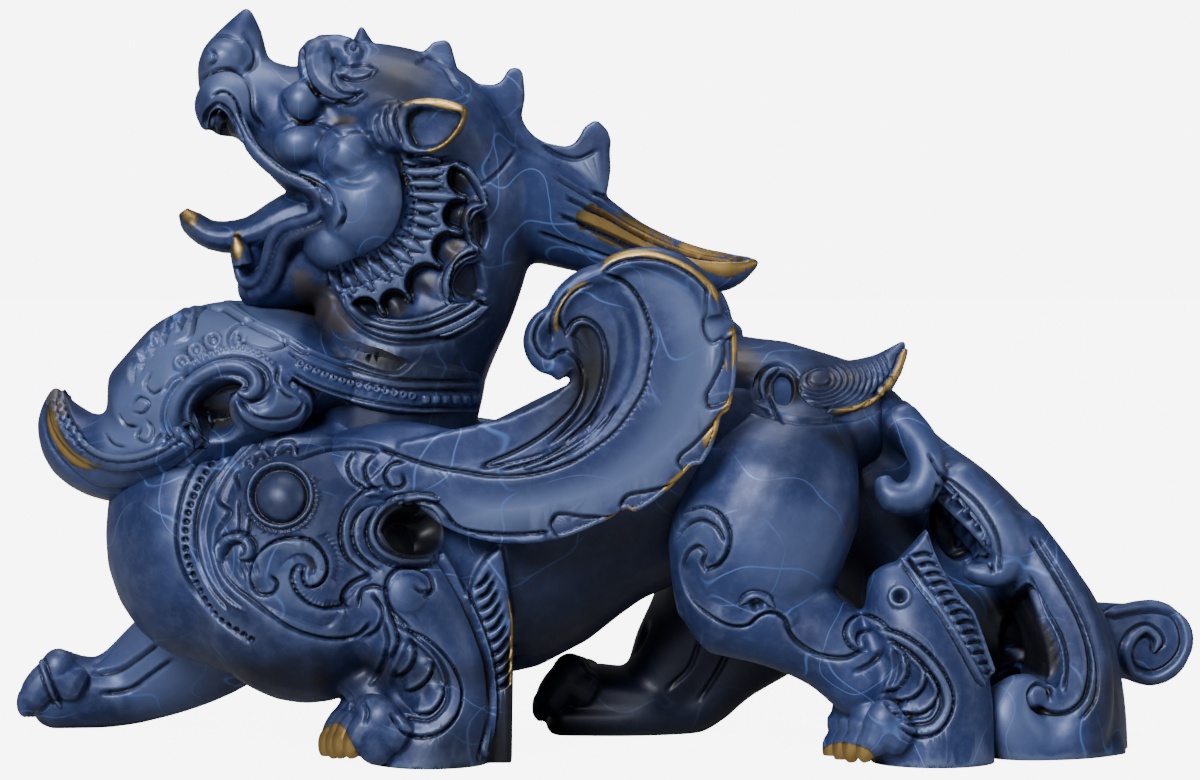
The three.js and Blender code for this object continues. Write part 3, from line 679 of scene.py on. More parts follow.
@dataclass(frozen=True)
class Paw:
    """A broad paw with four toes, set side by side from the outer one inwards."""

    out: float
    line: Line
    knuckle: Point
    tip: Point
    spread: float
    side: Side = Side.NEAR
    breadth: float = 10.6
    flatness: float = 0.92
    toes: int = 4
    outer_toe: float = 9.3
    toe_width: float = 6.2
    outer_setback: float = 4

    def lay(self, clay: Clay) -> None:
        """Lays the body of the paw.

        Args:
            clay: The clay to lay it on.
        """
        stations = [
            (u, v, self.out, radius * self.flatness, self.breadth / radius) for u, v, radius in self.line]
        clay.bar(stations, self.side, sides=20)

    def lay_toes(self, clay: Clay) -> None:
        """Lays the toes, each a knuckle, a finger and a claw, the inner ones further forward.

        Args:
            clay: The clay to lay them on.
        """
        for place in range(self.toes):
            depth = self.out + self.outer_toe - self.toe_width * place
            back = self.spread * (self.toes - 1 - place) + (0 if place else self.outer_setback)
            ku, kv = self.knuckle[0] + back, self.knuckle[1] + back * 0.3
            tu, tv = self.tip[0] + back, self.tip[1]
            clay.swelling((ku, kv, depth), (3.9, 3.4, 4.6), self.side)
            finger = [
                (ku + 16, kv + 14, depth, 4, 0.85), (ku - 2, kv + 6, depth, 4.2, 0.8),
                (tu + 8, tv - 12, depth, 3.6, 0.88), (tu + 2, tv - 2, depth, 3, 1)]
            claw = [
                (tu + 7, tv - 10, depth, 3, 0.95), (tu - 1, tv - 1, depth, 2.9, 0.9),
                (tu - 5, tv + 9, depth, 1.9, 0.9), (tu - 4, tv + 16, depth, 0.8, 0.9)]
            clay.bar(finger, self.side, sides=12)
            clay.bar(claw, self.side, sides=10)


@dataclass(frozen=True)
class Fuse:
    """Joins crossing shells into one skin."""

    grain: float

    def add(self, piece: bpy.types.Object) -> None:
        """Adds the step to a piece."""
        step = piece.modifiers.new("fuse", "REMESH")
        step.mode, step.voxel_size, step.adaptivity = "VOXEL", self.grain, 0


@dataclass(frozen=True)
class Soften:
    """Smooths a skin."""

    rounds: int
    factor: float = 0.5

    def add(self, piece: bpy.types.Object) -> None:
        """Adds the step to a piece.

        Args:
            piece: The piece.
        """
        if self.rounds:
            step = piece.modifiers.new("soften", "SMOOTH")
            step.iterations, step.factor = self.rounds, self.factor


@dataclass(frozen=True)
class Thin:
    """Thins a skin to a share of its triangles."""

    share: float

    def add(self, piece: bpy.types.Object) -> None:
        """Adds the step to a piece.

        Args:
            piece: The piece.
        """
        if self.share < 1:
            step = piece.modifiers.new("thin", "DECIMATE")
            step.ratio, step.use_collapse_triangulate = self.share, True


def shaped(mesh: bpy.types.Mesh, *steps: Fuse | Soften | Thin) -> bpy.types.Mesh:
    """A mesh after some steps.

    Args:
        mesh: The mesh, which is used up.
        steps: The steps, in order.

    Returns:
        The new mesh.
    """
    bench = shown("bench", mesh)
    for step in steps:
        step.add(bench)
    seen = bench.evaluated_get(bpy.context.evaluated_depsgraph_get())
    made = bpy.data.meshes.new_from_object(seen)
    bpy.data.objects.remove(bench)
    bpy.data.meshes.remove(mesh)
    return made


def shown(name: str, data: bpy.types.ID) -> bpy.types.Object:
    """A new object in the scene.

    Args:
        name: Its name.
        data: Its mesh, lamp or camera.

    Returns:
        The object.
    """
    made = bpy.data.objects.new(name, data)
    bpy.context.scene.collection.objects.link(made)
    return made


def looking(eye: Point, aim: Point) -> Euler:
    """The turn of a lamp or camera that looks from one point to another."""
    return (Vector(aim) - Vector(eye)).to_track_quat("-Z", "Y").to_euler()


def points_of(mesh: bpy.types.Mesh) -> np.ndarray:
    """A mesh's points, one to a row.

    Args:
        mesh: The mesh.

    Returns:
        Its points.
    """
    points = np.empty(len(mesh.vertices) * 3, np.float32)
    mesh.vertices.foreach_get("co", points)
    return points.reshape(-1, 3).astype(float)


def normals_of(mesh: bpy.types.Mesh) -> np.ndarray:
    """A mesh's normals at its points, one to a row.

    Args:
        mesh: The mesh.

    Returns:
        Its normals.
    """
    normals = np.empty(len(mesh.vertices) * 3, np.float32)
    mesh.vertex_normals.foreach_get("vector", normals)
    return normals.reshape(-1, 3).astype(float)


def set_points(mesh: bpy.types.Mesh, points: np.ndarray) -> None:
    """Moves a mesh's points."""
    mesh.vertices.foreach_set("co", points.astype(np.float32).ravel())
    mesh.update()


def write_map(mesh: bpy.types.Mesh, name: str, values: np.ndarray) -> None:
    """Keeps a value at each point of a mesh."""
    mesh.attributes.new(name, "FLOAT", "POINT").data.foreach_set("value", values.astype(np.float32))


def blurred(mesh: bpy.types.Mesh, values: np.ndarray) -> np.ndarray:
    """Values at a mesh's points, mixed half and half with their neighbours' mean.

    Args:
        mesh: The mesh.
        values: A value for each point.

    Returns:
        The mixed values.
    """
    ends = np.empty(2 * len(mesh.edges), np.int32)
    mesh.edges.foreach_get("vertices", ends)
    first, second = ends.reshape(-1, 2).T
    total = sum(np.bincount(a, values[b], len(values)) for a, b in ((first, second), (second, first)))
    return 0.5 * (values + total / np.maximum(np.bincount(ends, minlength=len(values)), 1))


def triangles_of(mesh: bpy.types.Mesh) -> int:
    """How many triangles a mesh has."""
    return len(mesh.loops) - 2 * len(mesh.polygons)


@dataclass(frozen=True)
class Work:
    """How finely the masses, the rounded shapes and the crisp forms are worked."""

    grains: tuple[float, ...] = (0.9, 0.55, 0.33)
    rounds: tuple[int, ...] = (8, 5, 2)

    def scaled(self, share: float) -> "Work":
        """The same work with larger faces."""
        return Work(tuple(grain * share for grain in self.grains), self.rounds)


@dataclass
class Piece:
    """One cast piece: masses, shapes and forms on them, carved layers and painted maps."""

    name: str = "piece"
    triangles: int = 190_000
    area: tuple[Point, Point] = ((0, -20), (1220, 790))
    hollow_span: float = 0.45

    def masses(self, clay: Clay) -> None:
        """Adds the large soft masses."""

    def shapes(self, clay: Clay) -> None:
        """Adds the shapes with rounded edges."""

    def forms(self, clay: Clay) -> None:
        """Adds the crisp forms."""

    def carving(self) -> list[Layer]:
        """The carved layers."""
        return []

    def wear(self) -> list[Layer]:
        """Where the patina is worn through to the brass."""
        return []

    def rubbing_and_highlight(self) -> list[Layer]:
        """Where the patina is rubbed grey-brown, and on the thigh a painted highlight."""
        return []

    def light_and_shade(self) -> list[Layer]:
        """Painted highlights, or painted shade where it is less than nothing; on the wings also paler patina.
        """
        return []

    def blank(self, cell: float = PAINTED) -> Relief:
        """A flat map over the piece's area."""
        return Relief(*self.area, cell)

    def build(self, work: Work, finish: bpy.types.Material) -> bpy.types.Object:
        """Builds the piece, dresses it and sets it over the CAD solid.

        Args:
            work: How finely it is worked.
            finish: Its finish.

        Returns:
            The finished object.
        """
        skin = bpy.data.meshes.new("nothing yet")
        for add, grain, rounds in zip((self.masses, self.shapes, self.forms), work.grains, work.rounds):
            clay = Clay()
            clay.shells.from_mesh(skin)
            bpy.data.meshes.remove(skin)
            add(clay)
            skin = clay.fused(grain, rounds)
        points, normals = points_of(skin), normals_of(skin)
        rise = sum((layer.read(points, normals) for layer in self.carving()), np.zeros(len(points)))
        points += normals * rise[:, None]
        points[:, 2] = np.maximum(points[:, 2], 0)
        set_points(skin, points)
        skin = shaped(skin, Thin(self.triangles / max(1, triangles_of(skin))))
        self.dress(skin)
        piece = shown(self.name, skin)
        skin.materials.clear()
        skin.materials.append(finish)
        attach(piece, "root")
        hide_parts("guardian_beast")
        LOG.info("%s: %d triangles", self.name, triangles_of(skin))
        return piece

    def dress(self, skin: bpy.types.Mesh) -> None:
        """Writes the maps that the finish reads, then brings the mesh to its place and to metres.

        Args:
            skin: The piece's mesh, in millimetres.
        """
        points, normals = points_of(skin), normals_of(skin)
        # worn is bare brass, rubbed is grey-brown patina with a painted highlight, and the light-and-shade
        # map is painted highlights and shade.
        for name, layers in (("worn", self.wear()), ("rubbed_and_highlight", self.rubbing_and_highlight()), ("light_and_shade", self.light_and_shade())):
            value = sum((layer.read(points, normals) for layer in layers), np.zeros(len(points)))
            write_map(skin, name, np.clip(value, -1, 1))
        # The hollow map darkens hollows, as patina and as painted shade, and pales ridges, as worn patina and
        # as a painted highlight.
        softened = shaped(skin.copy(), Soften(12))
        hollow = blurred(skin, np.einsum("ij,ij->i", normals, points_of(softened) - points))
        bpy.data.meshes.remove(softened)
        write_map(skin, "hollow", np.clip(0.5 + hollow / self.hollow_span, 0, 1))
        middle_x, middle_y = ELEVATION.centring
        set_points(skin, (points + (middle_x, middle_y, 0)) * METRE)
        skin.polygons.foreach_set("use_smooth", np.ones(len(skin.polygons), bool))
        skin.update()


@dataclass
class Head(Piece):
    """The head thrown back, with its ears, ruff, crest, upper neck and mane lock."""

    name: str = "head"
    area: tuple[Point, Point] = ((150, -20), (800, 460))
    skull: Line = (
        (458, 200, 0, 15, 1.1), (428, 150, 0, 17, 1.15), (385, 118, 0, 15.5, 1.2), (345, 101, 0, 12.3, 1.1),
        (308, 100, 0, 8, 1.1))
    muzzle: Line = (
        (372, 165, 0, 14, 1.15), (314, 135, 0, 12.3, 1.15), (280, 112, 0, 9.8, 1.2), (248, 99, 0, 8.4, 1.25),
        (218, 98, 0, 5, 1.5))
    throat: Line = (
        (400, 215, 0, 17, 1.1), (350, 245, 0, 13, 1.25), (312, 262, 0, 9.5, 1.45), (272, 284, 0, 5.4, 1.8))
    chin: Line = ((300, 268, 0, 6, 2), (272, 283, 0, 5.6, 1.9), (248, 288, 0, 3.6, 2))
    neck: Line = (
        (385, 440, 0, 18.5, 1.3), (390, 395, 0, 18, 1.3), (402, 340, 0, 18.5, 1.2), (424, 285, 0, 18.8, 1.1),
        (444, 235, 0, 18, 1.08), (455, 190, 0, 17, 1.05), (446, 150, 0, 14, 1.1))
    nose_leaf: Line = (
        (240, 100, 0, 7.6, 1.2), (235, 66, 0, 7.5, 1), (243, 35, 0, 4.8, 0.9), (249, 6, 0, 0.9, 0.9))
    lip_flare: Line = (
        (250, 112, 7, 5.6, 1), (224, 98, 8, 5.6, 1), (207, 106, 7.5, 3, 1.1), (206, 133, 7, 0.8, 1))
    tongue: Line = (
        (335, 206, 0, 7, 1.3), (290, 217, 0, 5, 1.8), (250, 234, 0, 3.7, 2.1), (212, 234, 0, 3, 2.1),
        (192, 221, 0, 2.5, 1.8), (183, 210, 0, 1.1, 1.5))
    fang: Line = ((243, 264, 7.6, 2.2, 1), (240, 250, 7.6, 2.1, 1), (235, 235, 7.6, 0.7, 1))
    lip: Line = (
        (210, 128, 9, 0.8, 1), (213, 108, 10, 1.1, 1), (224, 99, 10.6, 1.2, 1), (235, 106, 11, 1.3, 1),
        (244, 130, 12.4, 1.3, 1), (258, 154, 13.6, 1.3, 1), (280, 173, 15.2, 1.3, 1),
        (304, 184, 16.7, 1.3, 1), (319, 197, 17.6, 1.3, 1), (320, 210, 17.8, 1.3, 1),
        (306, 219, 16.8, 1.3, 1), (285, 225, 15, 1.3, 1), (273, 237, 13.6, 1.3, 1), (268, 254, 12.4, 1.3, 1),
        (263, 270, 10.8, 1.3, 1), (253, 281, 9.4, 1.3, 1), (242, 279, 8.2, 1.2, 1), (236, 264, 7, 0.8, 1))
    jowl: Line = (
        (300, 172, 16.4, 0.9, 1), (318, 179, 17.4, 1.2, 1), (331, 193, 18.2, 1.3, 1),
        (335, 209, 18.4, 1.3, 1), (326, 225, 17.8, 1.3, 1), (305, 232, 16.2, 1.3, 1),
        (290, 239, 14.8, 1.4, 1), (282, 253, 13.4, 1.4, 1), (277, 270, 12, 1.4, 1), (268, 286, 10, 1.5, 1),
        (252, 293, 7.4, 1.6, 1))
    brow: Line = (
        (330, 46, 6, 2.6, 1), (316, 56, 8, 3.6, 1), (321, 78, 10.5, 3.7, 1), (340, 93, 13, 2.5, 1),
        (366, 92, 14, 0.5, 1))
    brow_lobe: Line = (
        (320, 48, 6, 2.8, 1), (345, 50, 7, 3, 1), (353, 68, 9.5, 2.4, 1), (338, 79, 11.5, 1.2, 1))
    forehead_spike: Line = ((366, 66, 0, 4.4, 1.2), (363, 44, 0, 2.4, 1), (362, 26, 0, 0.4, 1))
    cheeks: Line = (
        (302, 143, 10.4, 5.8, 6, 4.8), (348, 153, 15.6, 6, 7.8, 6), (367, 202, 15.2, 9.4, 9.2, 11.6),
        (338, 242, 13.2, 7, 7, 6))
    jaw: Line = ((372, 200, 0), (14, 19, 16))
    nose_side: Line = ((226, 58, 6), (4.3, 4.6, 4))
    nostril: Line = ((226, 116, 3.5), (4, 4.5, 4.2))
    eye: Line = ((303, 101, 11.4), (4.2, 4.6, 4.3))
    chin_front: Line = ((252, 258, 0), (3.6, 7.4, 4.6))
    crest_depth: Point = (-4.4, 4.4)
    ear_depth: Point = (19.5, 23)
    ear_hinge: Point = (403, 103, 19.5)
    ear_angle: float = 14
    ruff_depth: Point = (12, 20.5)
    ear_stalk: Line = ((372, 132, 13, 3.6, 1), (390, 127, 18.5, 5, 0.8), (412, 126, 21, 4.6, 0.6))
    ear: Line = ((403, 103, 8), (473, 107, 20), (407, 150, 4))
    ruff: Line = (
        (405, 170, 0), (455, 163, 9), (486, 207, -14), (479, 249, -17), (450, 303, 3), (489, 306, 42),
        (338, 288, -40))
    crest: Line = (
        (344, 44, 0), (374, 42, -2), (420, 53, 0), (428, 47, 3), (440, 40, 3), (450, 42, 1), (455, 60, -9),
        (484, 83, -6), (506, 72, 2), (515, 66, 3), (523, 74, 3), (521, 116, -7), (557, 144, -6),
        (580, 134, 2), (591, 121, 3), (601, 122, 5), (610, 150, 4), (602, 205, 0), (540, 230, 0),
        (430, 130, 0))
    mane_lock: Line = (
        (480, 186, 0, 12, 0.9), (532, 206, 0, 11, 0.9), (580, 228, 0, 8.8, 0.9), (635, 252, 0, 6.2, 1),
        (690, 268, 0, 5, 1), (728, 270, 0, 4, 1), (764, 258, 0, 0.5, 1))

    def masses(self, clay: Clay) -> None:
        """Adds skull, jaws, throat, neck and mane lock.

        Args:
            clay: The clay to lay them on.
        """
        for stations in (
                self.skull, self.muzzle, self.throat, self.chin, self.neck, self.nose_leaf, self.mane_lock):
            clay.bar(stations, sides=20)
        clay.swelling(*self.jaw)
        clay.pair(clay.swelling(*self.nose_side))
        clay.pair(clay.bar(self.lip_flare, sides=12))
        clay.pair(clay.swelling(*self.nostril))

    def shapes(self, clay: Clay) -> None:
        """Adds cheeks, crest, ears and eyes.

        Args:
            clay: The clay to lay them on.
        """
        for cheek in self.cheeks:
            clay.pair(clay.swelling(cheek[:3], cheek[3:]))
        clay.plate(self.crest, self.crest_depth)
        clay.pair(clay.swelling(*self.eye))
        clay.pair(clay.bar(self.ear_stalk, sides=12))
        clay.pair(clay.flare(clay.plate(self.ear, self.ear_depth), *self.ear_hinge, self.ear_angle))

    def forms(self, clay: Clay) -> None:
        """Adds tongue, teeth, lips, brows and ruff.

        Args:
            clay: The clay to lay them on.
        """
        clay.bar(self.tongue, sides=16)
        clay.bar(self.forehead_spike, sides=12)
        for stations in (self.fang, self.lip, self.jowl, self.brow, self.brow_lobe):
            clay.pair(clay.bar(stations, sides=12))
        clay.swelling(*self.chin_front)
        clay.pair(clay.plate(self.ruff, self.ruff_depth))

    def carving(self) -> list[Layer]:
        """Draws the face, the ruff's comb and scallops, and the locks.

        Returns:
            The layers to cut.
        """
        cut = self.blank(CARVED)
        # Nose leaf and nostril
        cut.groove(4, 0.9, "246,34 256,48 256,62 246,72")
        cut.groove(2.6, 0.6, "205,46 212,38 226,35 242,40")
        cut.groove(3, 0.9, "206,54 213,50 215,60 207,66")
        cut.groove(3, 0.8, "200,79 216,70 234,69 246,76 252,90 254,112 264,128")
        # Upper lip and the wing of the nostril
        cut.step("214,96 224,92 234,98 241,117 252,140 268,158 286,172 308,180 323,190 330,204", 12, 0.9, 1)
        cut.groove(2.6, 0.8, "214,95 224,91 235,98 242,117 253,139 269,156 287,170 309,178 326,188 333,204")
        cut.groove(3, 0.9, "204,124 208,111 218,103 229,109 238,125 246,144")
        cut.panel("206,126 210,113 218,107 227,112 236,128 240,144 222,142", -1.6, 4)
        cut.cord("219,112 217,122 219,132", 7, 1.8, 0.2)
        # Cheeks and the line in front of the ruff
        cut.groove(5, 0.6, "321,160 324,149 333,139 345,133")
        cut.groove(11, 1.4, "326,166 342,177 362,178 378,170")
        cut.groove(11, 1.2, "326,130 329,146 324,160")
        cut.groove(2.6, 0.5, "280,131 294,124 311,122 331,127 341,133 356,131 372,132")
        cut.groove(5, 0.9, "394,150 404,172 407,204 399,230 386,246 362,259 340,268 326,272")
        # Eye and brow
        cut.groove(3, 0.9, "283,98 287,112 296,120 308,122 321,116")
        cut.groove(2.6, 0.7, "304,47 304,61 308,78 318,94 337,103 354,103 366,94")
        cut.groove(2.4, 0.6, "312,84 321,95 335,100 350,99 361,91")
        cut.groove(2.4, 0.7, "335,68 334,80 341,90 352,93 362,91")
        cut.groove(3, 0.8, "338,74 352,79 368,76 376,70")
        cut.groove(2.2, 0.5, "342,64 352,66 366,64 374,68", spiral(354, 46, 8, 1, 120, 1.3))
        # Corner of the mouth
        cut.groove(3.4, 1.6, "341,203 344,214 337,229")
        # Ear and the folds in front of it
        cut.panel("407,108 420,104 440,106 463,113 455,131 441,146 424,151 409,144 404,126", -0.6, 3)
        cut.basin(
            smooth("414,108 406,114 404,128 411,145"),
            smooth("420,106 442,109 462,114 456,130 441,144 418,149"), 2.2, 0.6)
        cut.groove(2.6, 0.9, "400,101 395,118 402,141")
        cut.groove(2.6, 0.8, "389,103 385,119 392,141")
        cut.groove(2.6, 0.7, "379,112 375,126 382,142")
        cut.groove(4, 0.8, "402,152 424,162 450,157")
        # The ruff's comb, scallops and rim
        for tooth in (
                "404,161 440,160", "406,171 442,171", "410,182 442,183", "412,193 456,196", "412,205 436,208",
                "410,216 438,223", "406,227 434,236", "399,237 424,250", "390,246 412,261", "380,253 402,273",
                "368,259 390,279", "354,264 372,288", "341,268 354,290", "329,272 341,290"):
            cut.cord(tooth, 5, 0.8, 0.5)
        cut.basin(
            arcs([(452, 163, -11), (464, 197, -21), (461, 232, -20), (439, 265, -19), (408, 296, -17),
                  (381, 311, -12), (350, 303, 0)], 12, closed=False),
            smooth("464,166 477,180 484,193 486,203 475,205 467,213 467,223 471,236 478,250 466,256 452,265 "
                   "445,280 447,294 452,301 436,312 415,318 394,319 374,316 360,311 352,306"), 4.6, 1.0)
        cut.cord("452,164 466,170 478,186 486,204", 3.4, 1.1)
        cut.cord("482,204 470,206 465,217 468,236 478,252", 3.2, 1.2)
        cut.cord("478,251 460,259 447,275 446,291 454,301", 3.2, 1.2)
        cut.cord("345,293 355,309 371,321 394,327 421,326 446,318 468,307 484,296", 3.4, 1.1)
        cut.groove(5, 1.0, "330,287 343,311 362,329 392,340 426,340 458,331 484,316")
        cut.panel("488,212 478,210 471,222 476,240 484,250 490,236", -1.6, 5)
        cut.panel("482,258 466,262 454,277 454,292 470,300 486,292", -1.6, 6)
        # Mane lock and crest
        cut.groove(
            3, 0.9, "556,176 590,196 640,226 700,250 756,256", "566,196 604,214 652,240 700,256 746,258",
            "560,214 600,230 650,252 690,262", "540,232 580,246 630,264", "590,190 624,204 664,228",
            "584,206 618,220 650,240", "578,222 612,238 640,252")
        cut.groove(
            3.4, 0.6, "418,62 430,58 444,66 456,84 470,96", "540,142 558,154 578,158 596,150",
            "480,186 500,170 516,150")
        return [Layer(cut)]

    def wear(self) -> list[Layer]:
        """Marks the worn edges of ear, tongue, fang and mane.

        Returns:
            The layers to paint.
        """
        paint, ear = self.blank(), Relief((380, 80), (490, 170))
        ear.groove(8, -1.3, "402,105 409,99 424,98 445,103 468,109")
        ear.groove(6, -1.1, "469,109 462,124 451,138 438,149 422,154")
        paint.groove(15, -1.4, "176,204 188,212 198,226")
        paint.groove(13, -1.3, "233,230 242,262")
        paint.panel(
            "580,186 612,196 650,210 696,236 736,250 772,255 756,272 720,284 690,272 640,264 604,256 560,222",
            0.84, 24)
        paint.panel("676,232 736,248 774,254 756,272 722,282 680,258", 0.45, 8)
        return [Layer(paint, turn=Turn.ROUND), Layer(ear, turn=Turn.ROUND, out=19)]

    def rubbing_and_highlight(self) -> list[Layer]:
        """Marks the rubbed neck, skull top and ruff.

        Returns:
            The layers to paint.
        """
        paint = self.blank()
        paint.panel("278,256 324,258 356,300 386,336 400,352 352,352 300,330 278,290", 1, 30)
        paint.panel("322,112 352,110 366,116 352,130 330,128", 0.7, 8)
        paint.panel("370,58 405,50 425,62 418,82 382,86", 0.5, 14)
        for u, v, radius in ((462, 182, 13), (462, 214, 14), (454, 250, 15), (430, 284, 15), (398, 306, 12)):
            paint.dome(u, v, radius, 0.8)
        return [Layer(paint, turn=Turn.ROUND)]

    def light_and_shade(self) -> list[Layer]:
        """Paints highlights on the cheeks, nose, eye, brow, spike and ruff, and shade on the neck, mouth and
        scallops.

        Returns:
            The layers to paint.
        """
        paint = self.blank()
        for u, v, radius, share in (
                (346, 152, 26, 0.7), (362, 200, 42, 0.7), (303, 143, 26, 0.6), (336, 246, 26, 0.4),
                (240, 70, 44, 1.0), (303, 101, 20, 0.5), (330, 60, 22, 0.4), (440, 56, 18, 0.6),
                (400, 84, 44, -0.85), (420, 356, 50, -0.35)):
            paint.dome(u, v, radius, share, 1.0)
        paint.groove(40, -0.5, "405,165 424,200 416,240 380,270 340,280")
        paint.panel(
            "286,262 330,290 380,340 470,330 500,250 500,200 560,260 480,470 360,470 290,330", -0.6, 34)
        paint.panel("204,130 210,113 218,106 228,112 238,130 244,150 222,146", -0.9, 4)
        paint.dome(218, 122, 7, 1.2)
        paint.groove(7, 0.5, "268,160 300,186 330,210 316,226 290,240 278,262")
        for u, v in ((458, 180), (455, 214), (447, 250), (423, 281), (394, 304), (366, 308)):
            paint.dome(u, v, 14, -0.9)
        paint.dome(476, 228, 14, -0.7)
        paint.dome(466, 280, 18, -0.7)
        paint.groove(16, 0.5, "326,92 322,112 336,122")
        return [Layer(paint, turn=Turn.ROUND)]


@dataclass
class BreastPlate(Piece):
    """The collar with its curled tip, its scrolls and the band round the neck."""

    name: str = "breast_plate"
    triangles: int = 140_000
    area: tuple[Point, Point] = ((20, 290), (520, 540))
    collar: Line = (
        (360, 385, 0, 10, 2.5), (290, 376, 0, 15.2, 1.95), (230, 389, 0, 18, 1.6), (185, 399, 0, 17, 1.5),
        (150, 410, 0, 13, 1.6))
    lip: Line = (
        (215, 425, 0, 11, 2.2), (160, 448, 0, 9.6, 2.4), (112, 456, 0, 9, 2), (77, 443, 0, 7.6, 1.6),
        (59, 414, 0, 4.8, 1.6), (54, 385, 0, 0.6, 2))
    rim: Line = (
        (54, 400, 5.4, 1.3, 1), (60, 424, 9, 1.6, 1), (78, 446, 13, 1.8, 1), (100, 458, 17, 1.9, 1),
        (124, 462, 20.4, 1.9, 1), (150, 457, 23, 1.9, 1), (176, 444, 25, 1.8, 1), (200, 428, 26, 1.4, 1))
    band: Line = ((379, 410, 0, 19.5, 1.31), (386, 380, 0, 19.6, 1.28), (393, 350, 0, 19.3, 1.26))

    def masses(self, clay: Clay) -> None:
        """Adds the plate, its lip and the band."""
        clay.bar(self.collar, sides=24)
        clay.bar(self.lip, sides=24)

    def forms(self, clay: Clay) -> None:
        """Adds the rolled rim."""
        clay.pair(clay.bar(self.rim, sides=10))
        clay.bar(self.band, sides=72, steps=24)

    def carving(self) -> list[Layer]:
        """Draws the scrolls, the band of rings and the clouds.

        Returns:
            The layers to cut.
        """
        cut = self.blank(CARVED)
        # Sunk ground round the scrolls
        cut.panel(
            "204,442 190,426 187,408 194,392 208,380 226,376 242,383 236,392 229,402 230,416 238,430 228,440",
            -6, 5)
        cut.panel(
            "286,370 310,384 340,396 400,411 477,416 477,446 400,446 330,440 300,430 310,412 309,398 296,386",
            -3.2, 7)
        # Large scroll with its rows
        cut.cord(
            "190,442 176,426 175,407 184,389 201,375 221,366 240,366 253,374 256,385 248,393 239,391", 7, 1.5,
            0.2)
        cut.groove(
            2.3, 0.7,
            "176,446 163,430 161,410 169,390 186,373 208,361 232,355 254,359 268,371 270,387 261,398 248,402")
        cut.groove(2, 0.5, "180,442 168,428 166,409 174,391 190,377 212,365 234,360 252,364 263,374 265,387")
        cut.beads("186,366 208,354 232,347 256,351 272,362", 5.5, 2.6, 0.6)
        # Small scroll behind it
        cut.panel(
            "233,398 237,414 252,427 272,431 292,428 306,416 308,402 298,391 286,382 280,372 272,384 266,400 "
            "252,404", 1.6, 7)
        cut.groove(2.6, 0.9, "240,401 252,411 272,414 292,410 302,400")
        cut.groove(2.6, 0.8, "278,366 276,380 284,392 296,397")
        cut.groove(2.4, 0.8, spiral(293, 384, 8, 2, 60, -0.8))
        # Band with rings and squares
        cut.groove(
            2.4, 0.7, "258,323 285,335 309,350 345,365 390,377 435,380 477,380",
            "290,352 312,364 345,376 390,387 435,390 477,390", "294,372 318,385 360,398 420,407 477,407",
            "294,380 318,392 360,405 420,414 477,414")
        ring_row = "300,363 330,375 360,384 395,392 412,395"
        for radius, height in ((4.2, 0.7), (2, -0.9)):
            cut.beads(ring_row, 9, radius, height)
        for u in range(422, 474, 10):
            cut.panel([(u, 394), (u + 7, 394), (u + 7, 403), (u, 403)], 0.6, 2)
        # Cloud, rings and curls on the plate
        cut.groove(
            2.4, 0.7, "228,344 229,332 240,323 258,322 276,331 286,342 272,348 252,344 240,338",
            "188,372 172,378 162,392", "150,372 144,384 152,392 162,386",
            "130,404 138,396 148,402 142,412 132,412", "118,414 124,424 136,426",
            "146,420 152,430 146,440 136,436 140,428", "104,432 112,442 124,446",
            "152,442 160,434 168,440 160,448")
        cut.groove(2.2, 0.7, spiral(237, 336, 8, 1, 0, 1.4))
        for middle, radius in (((213, 340), 7), ((196, 350), 6), ((182, 362), 6)):
            cut.ring(*middle, radius, 2.4, 0.7)
            cut.dome(*middle, 3, 0.5)
        # Feathered upper edge
        for start, end in (
                ((216, 302), (192, 318)), ((204, 304), (178, 330)), ((190, 310), (162, 344)),
                ((176, 320), (150, 356)), ((160, 334), (140, 370)), ((146, 352), (132, 382))):
            middle = ((start[0] + end[0]) / 2 - 6, (start[1] + end[1]) / 2 - 2)
            cut.groove(3.4, 1.2, [start, middle, end])
            cut.step([start, middle, end], 9, 0.8, 1)
        # Sunk strip behind the plate and the cords along it
        cut.panel("226,298 258,320 285,332 309,347 345,362 400,375 430,330 360,288 300,280 240,284", -1.3, 7)
        cut.groove(3, 0.9, "207,302 196,314 190,334 176,342")
        cut.cord("212,308 224,306 238,314 258,325 285,337 309,352", 3, 0.8)
        # Rim and curled tip
        cut.cord("60,392 64,412 74,432 87,447 104,456 126,458 149,453 168,443 184,432", 3, 0.9)
        for share in range(7):
            cut.groove(2.4, 0.5, [(47 + 5 * share, 400 + 9 * share), (62 + 4.5 * share, 404 + 7 * share)])
        cut.groove(3, 0.6, "42,398 46,436 64,464 92,486 122,490 152,480 180,464 208,440")
        cut.groove(3, 0.5, "120,492 140,486 160,476")
        return [Layer(cut, turn=Turn.BROAD)]

    def wear(self) -> list[Layer]:
        """Marks the worn front of the rim.

        Returns:
            The layers to paint.
        """
        paint = self.blank()
        paint.groove(9, -1.15, "49,400 50,418 58,440 74,458 100,469")
        return [Layer(paint, turn=Turn.ROUND)]

    def rubbing_and_highlight(self) -> list[Layer]:
        """Marks the rubbed notch of the scroll.

        Returns:
            The layers to paint.
        """
        paint = self.blank()
        paint.panel("196,398 234,400 236,426 200,430", 0.8, 8)
        paint.panel("30,372 66,376 76,410 70,426 40,410", 0.9, 16)
        paint.panel("236,292 262,316 300,336 345,358 420,368 400,330 330,286", 0.6, 22)
        return [Layer(paint, turn=Turn.ROUND)]

